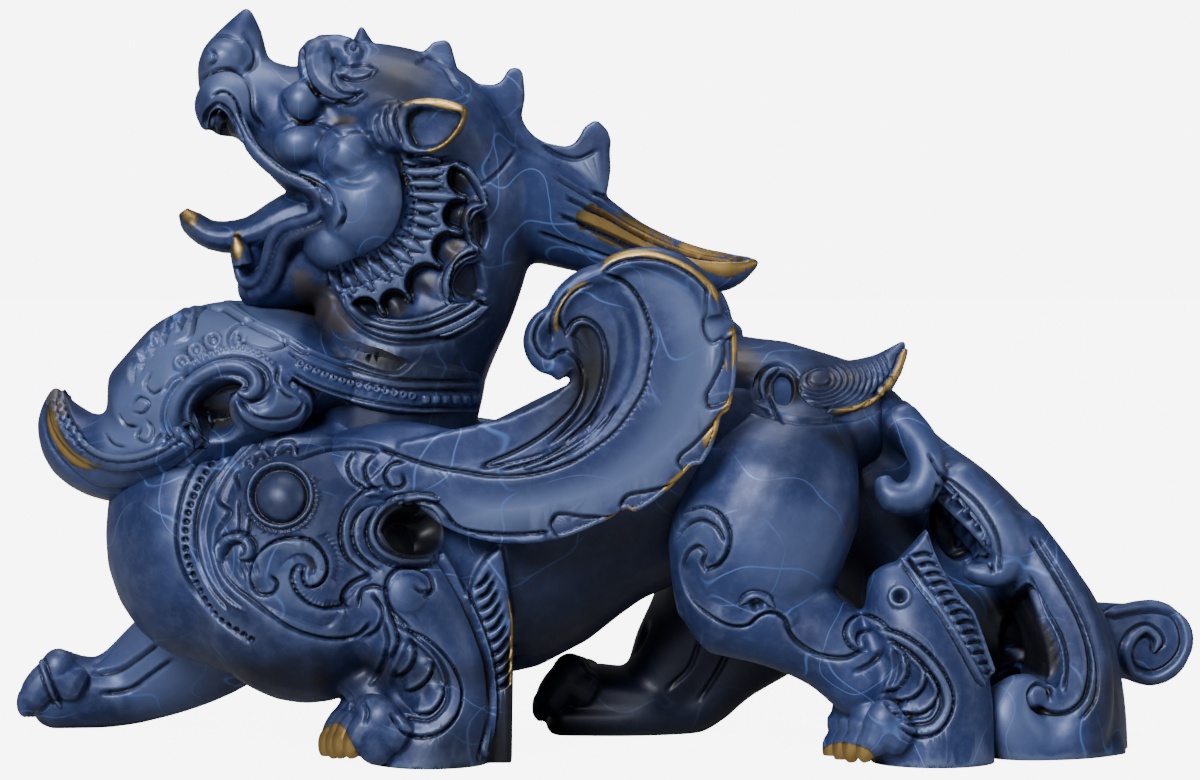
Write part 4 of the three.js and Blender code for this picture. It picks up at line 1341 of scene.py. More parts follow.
    def light_and_shade(self) -> list[Layer]:
        """Paints highlights on the clouds, rim and small scroll, and shade in the notch, sunk strip and band.

        Returns:
            The layers to paint.
        """
        paint = self.blank()
        paint.panel("90,430 110,380 150,330 210,290 310,296 300,350 200,380 160,450 100,460", 1.0, 20)
        paint.groove(24, -0.3, "60,470 110,478 160,462")
        paint.dome(272, 412, 34, 0.5, 1.0)
        paint.dome(212, 412, 26, -0.9)
        paint.panel("236,290 262,317 300,338 345,360 400,372 420,330 330,280", -0.4, 10)
        paint.panel("310,384 400,404 480,408 480,450 400,446 320,430", -0.7, 14)
        paint.panel("380,330 480,330 480,400 400,396 330,368", -0.6, 20)
        return [Layer(paint, turn=Turn.ROUND)]


@dataclass
class Wings(Piece):
    """Both folded wings."""

    name: str = "wings"
    triangles: int = 160_000
    area: tuple[Point, Point] = ((360, 240), (760, 560))
    outline: Line = (
        (400, 442, 0), (490, 421, -7), (574, 378, -6), (541, 367, 19), (549, 310, 9), (602, 263, 38),
        (724, 311, 0), (736, 320, 5), (731, 409, 0), (722, 413, 4), (703, 464, 0), (694, 463, 4),
        (636, 512, 0), (629, 506, 2), (586, 529, 17), (440, 524, 0), (400, 490, 0))
    rim: Line = ((568, 374, -4), (546, 361, 15), (556, 314, 9), (605, 272, 35), (716, 315, 0))
    root: Line = (
        (316, 506, 15, 12, 1), (358, 482, 20.5, 11, 0.98), (398, 469, 24.4, 9.8, 0.78),
        (440, 470, 27.2, 8.8, 0.52), (520, 470, 28.4, 6, 0.4))
    depth: Point = (27, 31.4)
    rim_depth: float = 31.0
    rim_radius: float = 2.3
    hinge: Point = (400, 442, 27)
    angle: float = 4.0
    shift: tuple[float, float] = (3.5, 3.5)

    def masses(self, clay: Clay) -> None:
        """Adds the roots, which run into the shoulders."""
        clay.pair(clay.bar(self.root, sides=24))

    def shapes(self, clay: Clay) -> None:
        """Adds the plates and their rims.

        Args:
            clay: The clay to lay them on.
        """
        rim = [(u, v, self.rim_depth, self.rim_radius, 1) for u, v in arcs(self.rim, closed=False)]
        verts = clay.plate(self.outline, self.depth) + clay.bar(rim, sides=10, steps=40)
        verts = clay.flare(verts, *self.hinge, self.angle)
        clay.pair(verts, self.shift)

    def carving(self) -> list[Layer]:
        """Draws the curl, the long feathers and the scalloped hem.

        Returns:
            The layers to cut.
        """
        cut = self.blank(CARVED)
        # Swell of the wing and hollow of its curl
        cut.panel("420,460 500,446 570,410 600,330 612,284 700,320 698,400 650,462 580,496 470,505", 0.8, 40)
        cut.panel(
            "568,334 578,322 594,324 604,340 606,372 596,403 574,429 546,447 560,428 577,403 581,380 574,358",
            -1.2, 6)
        cut.groove(12, 0.7, "608,292 626,318 628,356 615,392 588,424 552,446")
        # Long feathers
        cut.groove(
            2.6, 0.9,
            "604,273 625,281 638,296 648,319 652,340 650,363 645,386 632,409 615,431 592,449 569,462 543,471 "
            "518,475 490,475 464,471 439,467 405,457 380,447",
            "566,332 572,321 584,317 598,326 605,343 607,365 604,386 598,404 588,420 573,435 558,447 533,457 "
            "508,463 482,467", "569,351 577,359 582,374 581,391 573,407 558,422 543,434 520,448 482,465",
            "598,412 583,430 562,447 535,460 505,468", "618,404 600,427 575,447 545,463")
        cut.step(
            "604,274 625,283 639,298 649,320 653,341 651,364 646,387 633,410 616,432 593,450 569,463", 18,
            0.7, 1)
        for line in ("590,424 570,440 540,456 500,466", "610,414 592,434 562,453 525,467"):
            cut.cord(line, 2.4, 0.7, 0.2)
        # Curl and upper edge
        cut.groove(2.8, 1.1, "543,314 536,326 534,338 540,351 549,356 559,351 568,349")
        cut.groove(2.4, 0.8, "566,333 561,322 562,309 574,292 592,283")
        cut.groove(2.2, 0.6, "552,338 551,322 556,306 568,290")
        cut.groove(2.4, 0.9, "604,272 610,266 620,261 648,258 673,264 698,279 709,292")
        # Scalloped hem
        scallops = (
            (-0.2, "707,285 704,310 704,330 712,342 725,335", "750,325 735,285"),
            (-1.0, "722,338 722,360 713,381 706,395 708,406 724,404", "750,400 750,330"),
            (-1.0, "730,406 711,425 692,445 680,455 677,464", "700,480 750,420"),
            (-1.0, "700,465 680,482 650,490 627,495 619,506", "640,530 715,480"),
            (-1.0, "654,508 620,517 584,516 556,514 549,526", "570,548 665,525"))
        for height, inner, outer in scallops:
            cut.panel(f"{inner} {outer}", height, 2)
            cut.groove(2.8, 0.8, inner)
        # Lower edge
        cut.groove(2.4, 0.9, "418,498 436,503 446,513 454,523 464,529 492,533 523,533 548,531")
        cut.step("446,513 454,523 464,529 492,533 523,533 548,531", 12, -0.8, 1)
        return [Layer(cut), Layer(Forequarters().shoulder())]

    def wear(self) -> list[Layer]:
        """Marks the worn rim and the hem.

        Returns:
            The layers to paint.
        """
        paint = self.blank()
        paint.groove(6, -1.1, "601,270 609,259 635,252 661,256 686,266 704,279 714,291 719,304")
        paint.groove(4, -1, "591,280 575,287 564,300 557,314 556,327 561,333")
        paint.groove(
            8, -1.2, "734,322 733,345 727,378", "736,388 728,408 714,428 702,448", "699,461 682,476 660,494",
            "640,506 620,516 600,524")
        return [Layer(paint, turn=Turn.ROUND)]

    def light_and_shade(self) -> list[Layer]:
        """Paints the feather faces paler, as patina and painted sheen, and shade in the curl's heart and
        below the root.

        Returns:
            The layers to paint.
        """
        paint = self.blank()
        paint.panel(
            "430,488 520,482 600,452 650,390 660,320 610,270 680,262 730,320 724,410 690,466 636,506 560,526 "
            "450,522", 0.9, 30)
        paint.groove(34, 1.6, "582,330 592,350 586,384 566,414")
        paint.limit()
        paint.dome(410, 530, 34, -1)
        paint.groove(40, -0.25, "450,500 560,500")
        return [Layer(paint, turn=Turn.ROUND)]


@dataclass
class Forequarters(Piece):
    """The trunk with its shoulders, and both front legs."""

    name: str = "forequarters"
    near_area: tuple[Point, Point] = ((300, 530), (540, 780))
    torso: Line = (
        (205, 570, 0, 19, 1.35), (300, 566, 0, 25.6, 1.15), (400, 557, 0, 25.4, 1.1), (500, 548, 0, 25, 0.98),
        (590, 498, 0, 22.8, 0.97), (680, 460, 0, 23, 0.97), (770, 430, 0, 18.5, 1.1),
        (850, 420, 0, 12.5, 1.2))
    neck_root: Line = ((380, 470, 0, 20, 1.3), (388, 420, 0, 18, 1.3), (398, 360, 0, 15, 1.3))
    near_leg: Line = (
        (365, 545, 20, 16, 1), (392, 595, 24, 14, 0.9), (425, 645, 27, 11.3, 0.9), (440, 705, 28, 10.3, 0.95),
        (428, 772, 28, 11.4, 1))
    far_leg: Line = (
        (240, 600, 14, 16, 1.1), (195, 643, 22, 13, 0.9), (148, 673, 27, 10.2, 0.9), (112, 690, 28, 8, 1.1),
        (46, 703, 28, 5.6, 1.8))
    chest: Line = ((204, 532, 0), (20, 27, 26))
    shoulders: Line = ((306, 560, 15), (25, 22, 28.5))
    wrist: Line = ((374, 694, 24), (6, 6, 5.4))
    dew_toe: Line = ((376, 731, 36.4), (5, 4.2, 7))
    fin_depth: Point = (22, 29.4)
    leg_fin: Line = ((470, 592, 6), (501, 547, 0), (513, 622, 0), (511, 770, 0), (476, 770, 0), (480, 680, 0))
    near_paw: Paw = Paw(28, ((440, 738, 9), (402, 736, 7.6), (374, 736, 6.4)), (355, 715), (331, 744), 7)
    far_paw: Paw = Paw(28, ((125, 692, 7), (92, 688, 6.6), (66, 681, 6.2)), (56, 671), (28, 702), 4, Side.FAR)

    def masses(self, clay: Clay) -> None:
        """Adds trunk, chest, shoulders and legs.

        Args:
            clay: The clay to lay them on.
        """
        for stations in (self.torso, self.neck_root, self.near_leg):
            clay.bar(stations, sides=24)
        clay.bar(self.far_leg, Side.FAR, sides=20)
        clay.swelling(*self.chest)
        clay.pair(clay.swelling(*self.shoulders))
        clay.swelling(*self.wrist)
        for paw in (self.near_paw, self.far_paw):
            paw.lay(clay)

    def shapes(self, clay: Clay) -> None:
        """Adds the fur fin."""
        clay.plate(self.leg_fin, self.fin_depth)

    def forms(self, clay: Clay) -> None:
        """Adds the large outer toe and the others.

        Args:
            clay: The clay to lay them on.
        """
        clay.swelling(*self.dew_toe)
        for paw in (self.near_paw, self.far_paw):
            paw.lay_toes(clay)

    def carving(self) -> list[Layer]:
        """Draws shoulder, chest and legs.

        Returns:
            The layers to cut.
        """
        return [
            Layer(self.shoulder()), Layer(self.near_carving(), Reach.NEAR),
            Layer(self.far_carving(), Reach.FAR)]

    def shoulder(self) -> Relief:
        """Draws the beaded hem, the medallion, the cloud, the arcs and the socket.

        Returns:
            The map.
        """
        cut = Relief((80, 400), (780, 720), CARVED)
        # Beaded hem
        outer = ("250,424 234,430 208,448 188,476 179,503 175,538 180,565 192,590 206,610 227,629 250,645")
        inner = "256,434 238,448 216,470 200,498 194,530 197,562 208,588 226,610"
        cut.groove(2.6, 0.8, outer, inner)
        hem = "244,433 222,450 204,472 191,499 184,529 186,558 198,590 216,618 250,640"
        for radius, height in ((3.4, -1.4), (1.6, 0.8)):
            cut.beads(hem, 9.2, radius, height)
        cut.panel(
            "254,440 236,458 220,480 213,500 206,530 210,560 222,590 246,612 230,606 210,582 199,552 198,522 "
            "206,494 224,466 244,444", 1.1, 4)
        # Sunk field and its outline
        cut.panel(
            "262,440 300,436 372,440 396,452 372,480 352,500 344,530 352,560 372,578 350,600 330,630 290,622 "
            "252,604 228,580 217,552 217,528 226,512 220,500 226,480 242,458", -0.7, 5)
        cut.groove(
            3, 1.1,
            "262,438 240,459 224,480 217,500 227,511 216,530 215,552 221,573 232,587 247,599 264,612 288,628 "
            "312,637 336,640 356,636 368,624")
        cut.groove(
            2.6, 0.9, "236,486 234,474 240,462 250,458", "236,500 236,524 232,536", "240,540 246,530 248,514")
        # Medallion
        cut.dome(279, 494, 25, 2.4, 0.8)
        cut.ring(279, 494, 28, 2.4, -0.9)
        cut.ring(279, 494, 31.5, 2.8, 1.0)
        cut.beads(spiral(279, 494, 38, 38, -30, 0.5), 5, 2, 0.6)
        # Small curls round the medallion
        cut.groove(2.8, 1.0, "298,455 330,446 356,446 376,450")
        cut.cord("274,452 282,444 292,444 294,452", 3, 1.0)
        cut.cord("250,464 252,454 262,450 268,456", 3, 1.0)
        cut.cord("220,560 219,548 226,539 238,537 247,545 246,556 238,558", 4.4, 1.4)
        cut.lashes("236,566 246,562 254,560", 4.4, 14, 90, 0.5)
        # Cloud
        cloud = (
            "250,590 248,574 254,557 270,543 290,538 310,541 323,555 326,571 318,584 306,586 302,576 304,567")
        cut.step(cloud, 26, 1.5, 1)
        cut.groove(3, 1.1, cloud, "304,567 296,566 290,576 295,592 309,605 328,610 348,607")
        cut.groove(2.8, 1.0, "248,584 256,595 270,594 275,584 268,575")
        cut.step("304,567 296,566 290,576 295,592 309,605 328,610", 12, 0.8, -1)
        cut.lashes("298,574 300,588 312,598 330,602 344,600", 4.2, 9, 118, 0.6)
        cut.lashes("320,536 330,548 334,562 332,578", 4.6, 9, -60, 0.6)
        # Socket and the arcs round it
        for line in (
                "384,486 362,492 346,510 340,533 346,556 366,574",
                "384,502 364,508 354,520 352,535 358,553 378,570",
                "404,498 384,506 369,520 366,536 374,554 396,566 430,566"):
            cut.ledge(line, 2.8, 1.0, 9, 0.8, -1)
        cut.panel("378,530 388,513 410,504 432,508 443,526 440,548 422,556 396,552", -5.2, 11)
        cut.cord("438,499 412,497 390,503 374,518 371,535 381,551 402,561 432,561", 3.4, 1.0)
        # Curls above and below the socket
        for line in ("352,450 346,464 352,480 368,490", "372,454 364,466 368,482 382,492"):
            cut.ledge(line, 2.8, 1.0, 10, 0.7, -1)
        cut.groove(2.8, 1.0, "404,461 390,464 384,476 392,488 403,484 402,474")
        cut.groove(
            3, 1.1, "346,612 342,598 350,584 368,574", "358,606 360,591 372,586 386,590",
            "372,596 382,612 376,630 360,640")
        return cut

    def near_carving(self) -> Relief:
        """Draws the near leg's curl, its ribs, its lines and its fur.

        Returns:
            The map.
        """
        cut = Relief(*self.near_area, CARVED)
        # Curl at the elbow
        cut.groove(3, 1.1, "424,597 433,588 429,575 414,567 398,568 387,578 385,596 392,612 408,628")
        cut.groove(2.6, 0.8, "412,586 420,592 430,590")
        cut.dome(408, 594, 20, 0.7)
        # Edge of the fin
        fin = drawn("435,556 449,577 464,606 476,634 486,668 488,714 478,760")
        cut.groove(2.8, 1.0, fin)
        cut.cord(fin + (5, -2), 2.8, 0.9)
        # Bed of ribs with its rim
        rim = "384,604 398,626 426,640 450,664 461,692 455,718 434,736 406,735 390,716"
        cut.ledge(rim, 3, 1.1, 12, 0.8, 1)
        bed = "408,632 432,652 446,678 446,704 428,721 402,717"
        cut.groove(3, 1.1, bed)
        cut.panel("408,634 432,654 446,680 446,704 428,720 402,714 386,690 396,660", -1.2, 6)
        for line in (
                "386,610 394,626 397,642 390,660", "411,640 413,655 406,670 392,680",
                "433,660 430,674 418,687 400,694", "445,684 441,700 429,713 408,714"):
            cut.ledge(line, 2.4, 0.8, 19, 1.8, 1)
        # Line in front of the ribs, and fur on the fin
        cut.groove(4, 1.0, "384,620 388,644 380,668 370,684")
        for start in evenly("474,588 483,620 491,652 497,690", 10):
            cut.groove(3.4, 1.5, [start + (15, -15), start + (9, -6), start])
            cut.groove(2.4, 0.7, [start + (21, -9), start + (14, 0)])
        # Wrist
        cut.groove(3.4, 0.9, "343,690 350,700 352,714")
        cut.groove(3.4, 0.7, "360,700 366,712 364,724")
        return cut

    def far_carving(self) -> Relief:
        """Draws the far leg's lines and toes.

        Returns:
            The map.
        """
        cut = Relief((0, 590), (300, 780))
        cut.groove(
            4, 1.1, "129,624 104,653 93,664", "92,674 118,670 134,660 156,644",
            "100,694 128,690 148,676 170,660")
        cut.cord("36,654 42,672 50,694 58,708", 3, 0.8)
        return cut

    def wear(self) -> list[Layer]:
        """Marks the worn claws and the edge of the fur.

        Returns:
            The layers to paint.
        """
        near = Relief(*self.near_area)
        near.panel("308,766 312,742 324,726 338,722 352,742 360,766", 1.1, 4)
        near.groove(3, -0.9, "508,596 512,626 511,650 509,690")
        return [Layer(near, Reach.NEAR, Turn.ANY)]

    def light_and_shade(self) -> list[Layer]:
        """Paints highlights on the chest, cloud, fin edge and far leg, and shade on the socket, belly and
        near leg.

        Returns:
            The layers to paint.
        """
        paint = Relief((80, 400), (560, 780))
        for u, v, radius, share in (
                (282, 580, 50, 0.25), (455, 766, 60, -0.6), (440, 620, 50, -0.3), (296, 494, 80, -0.4),
                (250, 670, 60, -0.25)):
            paint.dome(u, v, radius, share, 1.0)
        paint.groove(30, -0.35, "488,586 494,620 500,670")
        paint.dome(412, 530, 40, -1.8, 1.0)
        body = Relief((100, 330), (800, 780))
        body.panel(
            "490,530 600,500 720,470 760,560 700,640 560,680 500,700 300,700 330,640 400,640 480,640", -0.7,
            40)
        body.panel("200,640 260,650 330,640 330,700 220,690", -0.6, 24)
        plate = Relief((480, 530), (540, 790))
        plate.panel("514,600 506,640 500,690 493,730 484,785 536,785 530,690 517,640", -0.95, 5)
        for layer in (paint, body):
            layer.limit()
        far = Relief((20, 600), (260, 760))
        far.dome(160, 664, 70, 0.8, 1.0)
        return [
            Layer(paint, turn=Turn.ROUND), Layer(body, turn=Turn.ANY),
            Layer(plate, Reach.NEAR, Turn.ANY, out=20), Layer(far, Reach.FAR, Turn.ANY)]

    def rubbing_and_highlight(self) -> list[Layer]:
        """Marks the rubbed back.

        Returns:
            The layers to paint.
        """
        paint = Relief((580, 320), (900, 420))
        paint.panel("610,330 760,336 790,380 740,400 610,380", 0.8, 24)
        return [Layer(paint, turn=Turn.ANY)]


@dataclass
class Hindquarters(Piece):
    """The thighs, both hind legs and the cape on the rump."""

    name: str = "hindquarters"
    near_area: tuple[Point, Point] = ((780, 510), (1010, 780))
    thigh: Line = (
        (800, 424, 8, 9, 1), (796, 452, 14, 12.8, 0.9), (779, 494, 19, 17, 0.85), (754, 552, 21, 17.5, 0.8),
        (734, 606, 21, 13, 0.8))
    loin: Line = (
        (660, 440, 0, 15, 1.1), (700, 440, 0, 19, 1.05), (770, 430, 0, 18.9, 1.1), (850, 420, 0, 12.8, 1.2))
    shank: Line = (
        (725, 600, 21, 11, 1), (780, 619, 22, 9.8, 0.95), (835, 649, 24, 8.8, 0.95), (872, 690, 26, 7.5, 1))
    hock: Line = (
        (893, 580, 24, 5.6, 1), (912, 628, 26, 9.3, 0.85), (932, 680, 27, 11.6, 0.8), (936, 772, 27, 12, 0.9))
    fin_depth: Point = (21, 28)
    hock_fin: Line = ((880, 585, 0), (929, 530, -7), (977, 612, 0), (999, 674, 0), (950, 690, 0))
    far_leg: Line = (
        (735, 560, 14, 15, 1), (712, 615, 18, 13, 0.9), (678, 662, 20, 10.5, 0.9), (650, 704, 20, 6.5, 1.2))
    far_heel: Line = (
        (765, 632, 16, 10.5, 1), (726, 672, 18, 7.5, 1), (696, 708, 20, 5.4, 1.4), (640, 716, 20, 5, 2.2),
        (558, 716, 20, 4.6, 2.5))
    near_paw: Paw = Paw(27, ((930, 738, 9), (900, 733, 7.6), (880, 736, 6.4)), (852, 714), (838, 748), 10)
    far_paw: Paw = Paw(
        20, ((655, 702, 7), (614, 696, 6.8), (588, 690, 6.2)), (570, 676), (546, 706), 4, Side.FAR)
    cape: Line = (
        (722, 380, 0, 9.8, 1.8), (785, 378, 0, 7.2, 2.2), (838, 386, 0, 5.4, 2.5), (878, 374, 0, 4.4, 2.1),
        (905, 340, 0, 0.5, 1))

    def masses(self, clay: Clay) -> None:
        """Adds thighs, shanks, hocks and paws.

        Args:
            clay: The clay to lay them on.
        """
        clay.bar(self.loin, sides=24)
        clay.pair(clay.bar(self.thigh, sides=22))
        for stations in (self.shank, self.hock):
            clay.bar(stations, sides=20)
        for stations in (self.far_leg, self.far_heel):
            clay.bar(stations, Side.FAR, sides=20)
        for paw in (self.near_paw, self.far_paw):
            paw.lay(clay)

    def shapes(self, clay: Clay) -> None:
        """Adds the cape and the fin behind the hock."""
        clay.bar(self.cape, sides=24)
        clay.plate(self.hock_fin, self.fin_depth)

    def forms(self, clay: Clay) -> None:
        """Adds the toes."""
        for paw in (self.near_paw, self.far_paw):
            paw.lay_toes(clay)

    def carving(self) -> list[Layer]:
        """Draws cape, thighs and legs."""
        return [
            Layer(self.upper()), Layer(self.near_carving(), Reach.NEAR), Layer(self.far_carving(), Reach.FAR)]

    def upper(self) -> Relief:
        """Draws the cape's eye and scrolls, and the knee's spiral.

        Returns:
            The map.
        """
        cut = Relief((640, 320), (920, 680), CARVED)
        # Eye of the cape
        cut.panel("772,380 780,371 791,374 795,390 788,404 776,402", -2.6, 5)
        cut.groove(2.8, 1.0, "758,398 756,384 761,370 774,363 788,365 799,376")
        cut.cord("764,398 762,385 767,374 778,368", 3.4, 1.0)
        cut.groove(2.6, 0.8, "770,396 774,408 784,422")
        cut.groove(2.8, 0.9, "799,376 802,392 816,404 836,408")
        # Rings of the cape
        for size in np.arange(0.8, 5.2, 0.4):
            closed = size < 1.5
            angles = np.linspace(0, math.tau, 17) if closed else np.linspace(-1.0, 4.4 / size - 0.2, 9)
            ring = np.column_stack([15 * size * np.cos(angles), 10 * size * np.sin(angles)])
            cut.groove(2, 0.5, ring + (820, 378))
        cut.dome(820, 377, 11, 0.7)
        # Hem of the cape
        cut.groove(5, 0.9, "742,404 766,412 800,420 830,420 860,414 886,400 906,370")
        cut.cord("829,411 852,408 872,400 889,383 900,365 904,348", 3.4, 1.0)
        # Curl on the thigh
        cut.groove(2.8, 1.0, "676,538 686,525 701,519 716,526 726,541")
        cut.groove(3, 1.1, "686,512 704,507 720,514 729,530 728,550 719,564 706,570")
        cut.step("682,516 694,508 708,507 722,517 730,534 727,552 716,566", 16, 0.9, 1)
        # Spiral of the knee and the line that runs on from it
        knee = drawn(
            "706,570 702,562 705,553 698,546 689,550 683,564 685,583 694,601 712,616 730,625 748,625 759,616 "
            "771,612 784,617 790,628")
        cut.groove(3, 1.1, knee)
        cut.step(knee[5:], 14, 0.8, -1)
        cut.dome(757, 604, 8, -1.6, 1.0)
        cut.cord("740,604 752,596 766,598 774,606", 3.4, 0.8)
        cut.groove(3.4, 1.1, "786,626 796,641 818,655 846,658 864,650")
        return cut

    def near_carving(self) -> Relief:
        """Draws the near hock's curls, ribs and fur.

        Returns:
            The map.
        """
        cut = Relief(*self.near_area, CARVED)
        # Eye and fur of the hock's fin
        cut.dome(901, 597, 7, -2.2, 0.8)
        cut.ring(901, 597, 9, 2.6, 0.8)
        left = drawn("908,556 926,582 943,604 960,630 975,657 990,684")
        right = "930,536 941,562 953,582 976,622 988,650 999,678"
        cut.groove(2.8, 1.1, left)
        cut.cord(left + (-5, 2), 2.6, 0.8)
        cut.groove(2.6, 0.8, right)
        for start, end in zip(evenly(left, 14)[:-1], evenly(right, 15)[2:]):
            cut.groove(3, 1.2, [start + 0.12 * (end - start), (start + end) / 2 + (3, -3), end])
        # Curl at the ankle
        curl = "866,652 852,646 846,634 850,622 862,615 878,620 890,630"
        cut.ledge(curl, 3, 1.1, 12, 0.9, 1)
        cut.groove(2.8, 0.9, "862,650 858,640 862,632 872,630")
        # Bed of ribs with its rim
        rim = "880,628 905,636 928,652 947,676 955,698 951,718 938,734 918,737 900,726"
        cut.groove(3, 1.1, rim, "890,640 916,656 938,684 943,706 932,723 908,726")
        cut.step(rim, 12, 0.8, 1)
        cut.panel("892,644 916,658 937,685 942,706 931,722 904,722 884,704 892,676", -1.2, 6)
        for line in (
                "894,640 906,656 908,672 898,688 884,694", "908,652 924,668 927,682 914,698 890,702",
                "926,668 939,686 937,702 922,714 894,712"):
            cut.ledge(line, 2.6, 0.7, 17, 1.5, 1)
        cut.groove(4, 0.9, "856,672 872,664 884,650")
        return cut

    def far_carving(self) -> Relief:
        """Draws a few lines on the far leg.

        Returns:
            The map.
        """
        cut = Relief((520, 540), (800, 780))
        cut.groove(4, 0.8, "648,624 640,644 628,658", "700,640 690,668 668,690", "730,650 716,676 700,700")
        return cut

    def wear(self) -> list[Layer]:
        """Marks the worn hem of the cape and the claws.

        Returns:
            The layers to paint.
        """
        upper, near = Relief((640, 320), (930, 680)), Relief(*self.near_area)
        upper.groove(6, -1, "906,342 900,366 889,384 872,400 852,408 828,412")
        near.panel("818,768 822,750 836,742 858,744 874,752 880,768", 1.1, 4)
        return [Layer(upper, turn=Turn.ROUND), Layer(near, Reach.NEAR, Turn.ANY)]

    def light_and_shade(self) -> list[Layer]:
        """Paints highlights on the knee, shank, hock and paw, and shade on the far leg, under the cape and in
        its eye.

        Returns:
            The layers to paint.
        """
        paint = Relief((640, 320), (1010, 780))
        for u, v, radius, share in (
                (700, 530, 34, 0.4), (905, 590, 30, 0.4), (800, 550, 70, 0.6), (870, 740, 40, 0.4),
                (805, 450, 60, -0.4), (828, 378, 50, -0.5), (945, 650, 60, -0.2), (800, 650, 50, -0.2)):
            paint.dome(u, v, radius, share, 1.0)
        paint.dome(784, 388, 20, -1)
        paint.panel("740,400 810,424 880,420 890,500 850,470 800,430 760,424", -0.6, 16)
        far = Relief((500, 540), (820, 780))
        far.panel("520,650 640,560 800,560 800,740 520,740", -0.85, 20)
        return [Layer(paint, turn=Turn.ROUND), Layer(far, Reach.FAR, Turn.ANY)]

    def rubbing_and_highlight(self) -> list[Layer]:
        """Marks the rubbed loin and cape, and paints a highlight down the back of the thigh.

        Returns:
            The layers to paint.
        """
        paint = Relief((620, 320), (920, 620))
        paint.panel("640,330 760,336 780,372 740,396 640,384", 0.8, 24)
        paint.panel("786,362 868,366 880,380 840,396 800,398", 0.6, 14)
        # Painted highlight down the back edge of the thigh.
        paint.groove(26, -0.5, "836,470 852,520 846,590")
        return [Layer(paint, turn=Turn.ANY)]


@dataclass
class Tail(Piece):
    """The tail with its locks, its foot and the curl on the far side."""

    name: str = "tail"
    triangles: int = 124_000
    area: tuple[Point, Point] = ((840, 390), (1220, 790))
    web: Line = (
        (850, 480, 0, 13, 0.9), (882, 545, -3, 13.5, 0.8), (935, 592, -5, 13, 0.8), (1000, 640, -4, 10, 0.9))
    stem: Line = (
        (868, 418, 0, 8, 1.2), (924, 461, 0, 6, 1.6), (967, 498, 0, 7, 1.9), (1022, 563, 0, 8, 2),
        (1062, 630, 0, 9.4, 1.95), (1077, 696, 0, 9.8, 1.9), (1080, 775, 0, 10.2, 1.9))
    foot: Line = ((1012, 745, 17, 6, 1.2), (1060, 756, 13, 6.8, 1.7), (1094, 754, 8, 6.4, 1.6))
    first_lock: Line = (
        (900, 422, 8, 4.6, 1), (922, 445, 12, 3.8, 1), (929, 472, 15, 3.5, 1), (914, 497, 16.5, 3.6, 1),
        (892, 496, 17, 3.2, 1), (882, 476, 16, 1.6, 1))
    second_lock: Line = (
        (956, 482, 10, 5.2, 1), (998, 526, 14, 4.8, 1), (1013, 555, 15.6, 4.2, 1), (1000, 573, 16.4, 2.9, 1),
        (982, 574, 16.4, 2.4, 1), (966, 569, 15.8, 1.6, 1))
    third_lock: Line = (
        (1016, 534, 11, 6, 1), (1060, 600, 15, 6.4, 1), (1082, 670, 17, 6.6, 1), (1074, 735, 18, 7, 1),
        (1036, 754, 19, 7.4, 1), (1010, 718, 20, 6.8, 1), (1030, 690, 20, 3.6, 1), (1049, 702, 20, 1.6, 1))
    far_curl: Line = ((1152, 645, 14), (8.8, 4.5, 8.8))
    far_stem: Line = ((1085, 640, 9, 8, 0.9), (1140, 642, 14, 8, 0.5))

    def masses(self, clay: Clay) -> None:
        """Adds the stem, the foot and the far curl.

        Args:
            clay: The clay to lay them on.
        """
        clay.bar(self.web, sides=16)
        clay.bar(self.stem, sides=22)
        clay.pair(clay.bar(self.foot, sides=16))
        clay.pair(clay.bar(self.third_lock, sides=16, steps=30))
        clay.bar(self.far_stem, Side.FAR, sides=16)
        clay.swelling(*self.far_curl, Side.FAR)

    def shapes(self, clay: Clay) -> None:
        """Adds the locks."""
        for stations in (self.first_lock, self.second_lock):
            clay.pair(clay.bar(stations, sides=14))

    def carving(self) -> list[Layer]:
        """Draws the strands of the locks.

        Returns:
            The layers to cut.
        """
        cut = self.blank(CARVED)
        # Strands of the middle lock
        cut.groove(2.8, 1.1, "930,454 943,474 958,485 976,500 989,518 998,538 1001,569")
        cut.groove(2.6, 1.0, "938,469 953,490 968,508 981,525 990,543 987,559")
        cut.panel("936,480 950,490 968,510 984,532 988,552 978,558 958,562 944,552 930,520", -2.8, 7)
        for start, end in (
                ((957, 494), (951, 526)), ((968, 508), (957, 546)), ((978, 524), (966, 552)),
                ((985, 538), (976, 556))):
            middle = ((start[0] + end[0]) / 2 - 4, (start[1] + end[1]) / 2 - 2)
            cut.cord([start, middle, end], 5, 1.4, 0.2)
        # Strands of the long lock
        cut.groove(
            3.4, 1.3,
            "1033,538 1048,562 1066,592 1081,620 1090,648 1092,676 1084,702 1068,713 1050,713 1040,708")
        cut.groove(2.6, 0.8, "1040,538 1058,566 1078,602 1092,634 1100,668 1098,700 1084,720")
        cut.groove(3, 1.1, "1031,578 1046,608 1062,636 1068,662 1066,690")
        cut.panel(
            "1014,592 1030,582 1046,612 1060,640 1065,668 1058,690 1044,676 1020,668 1004,660 1002,626", -3.2,
            7)
        cut.lashes("1056,636 1062,652 1064,674", 6, 18, 150, 1.0)
        # Tips, and the curl at the foot
        cut.groove(3, 1.0, "968,562 980,558 990,562 994,572")
        curl = "1046,716 1034,706 1032,692 1040,684 1050,688 1052,700"
        cut.groove(3.2, 1.2, curl)
        cut.groove(3, 0.9, "984,700 990,682 1004,671 1022,668 1042,674 1054,686")
        cut.groove(3.4, 0.9, "986,708 984,730 990,752")
        # Curl on the far side
        far = Relief((1080, 580), (1220, 710))
        far.cord(
            "1106,614 1130,609 1157,606 1178,612 1188,630 1188,650 1176,668 1156,678 1136,672 1128,655 "
            "1134,638 1148,630 1160,640 1156,652", 4.4, 1.2)
        return [Layer(cut), Layer(far, Reach.FAR)]

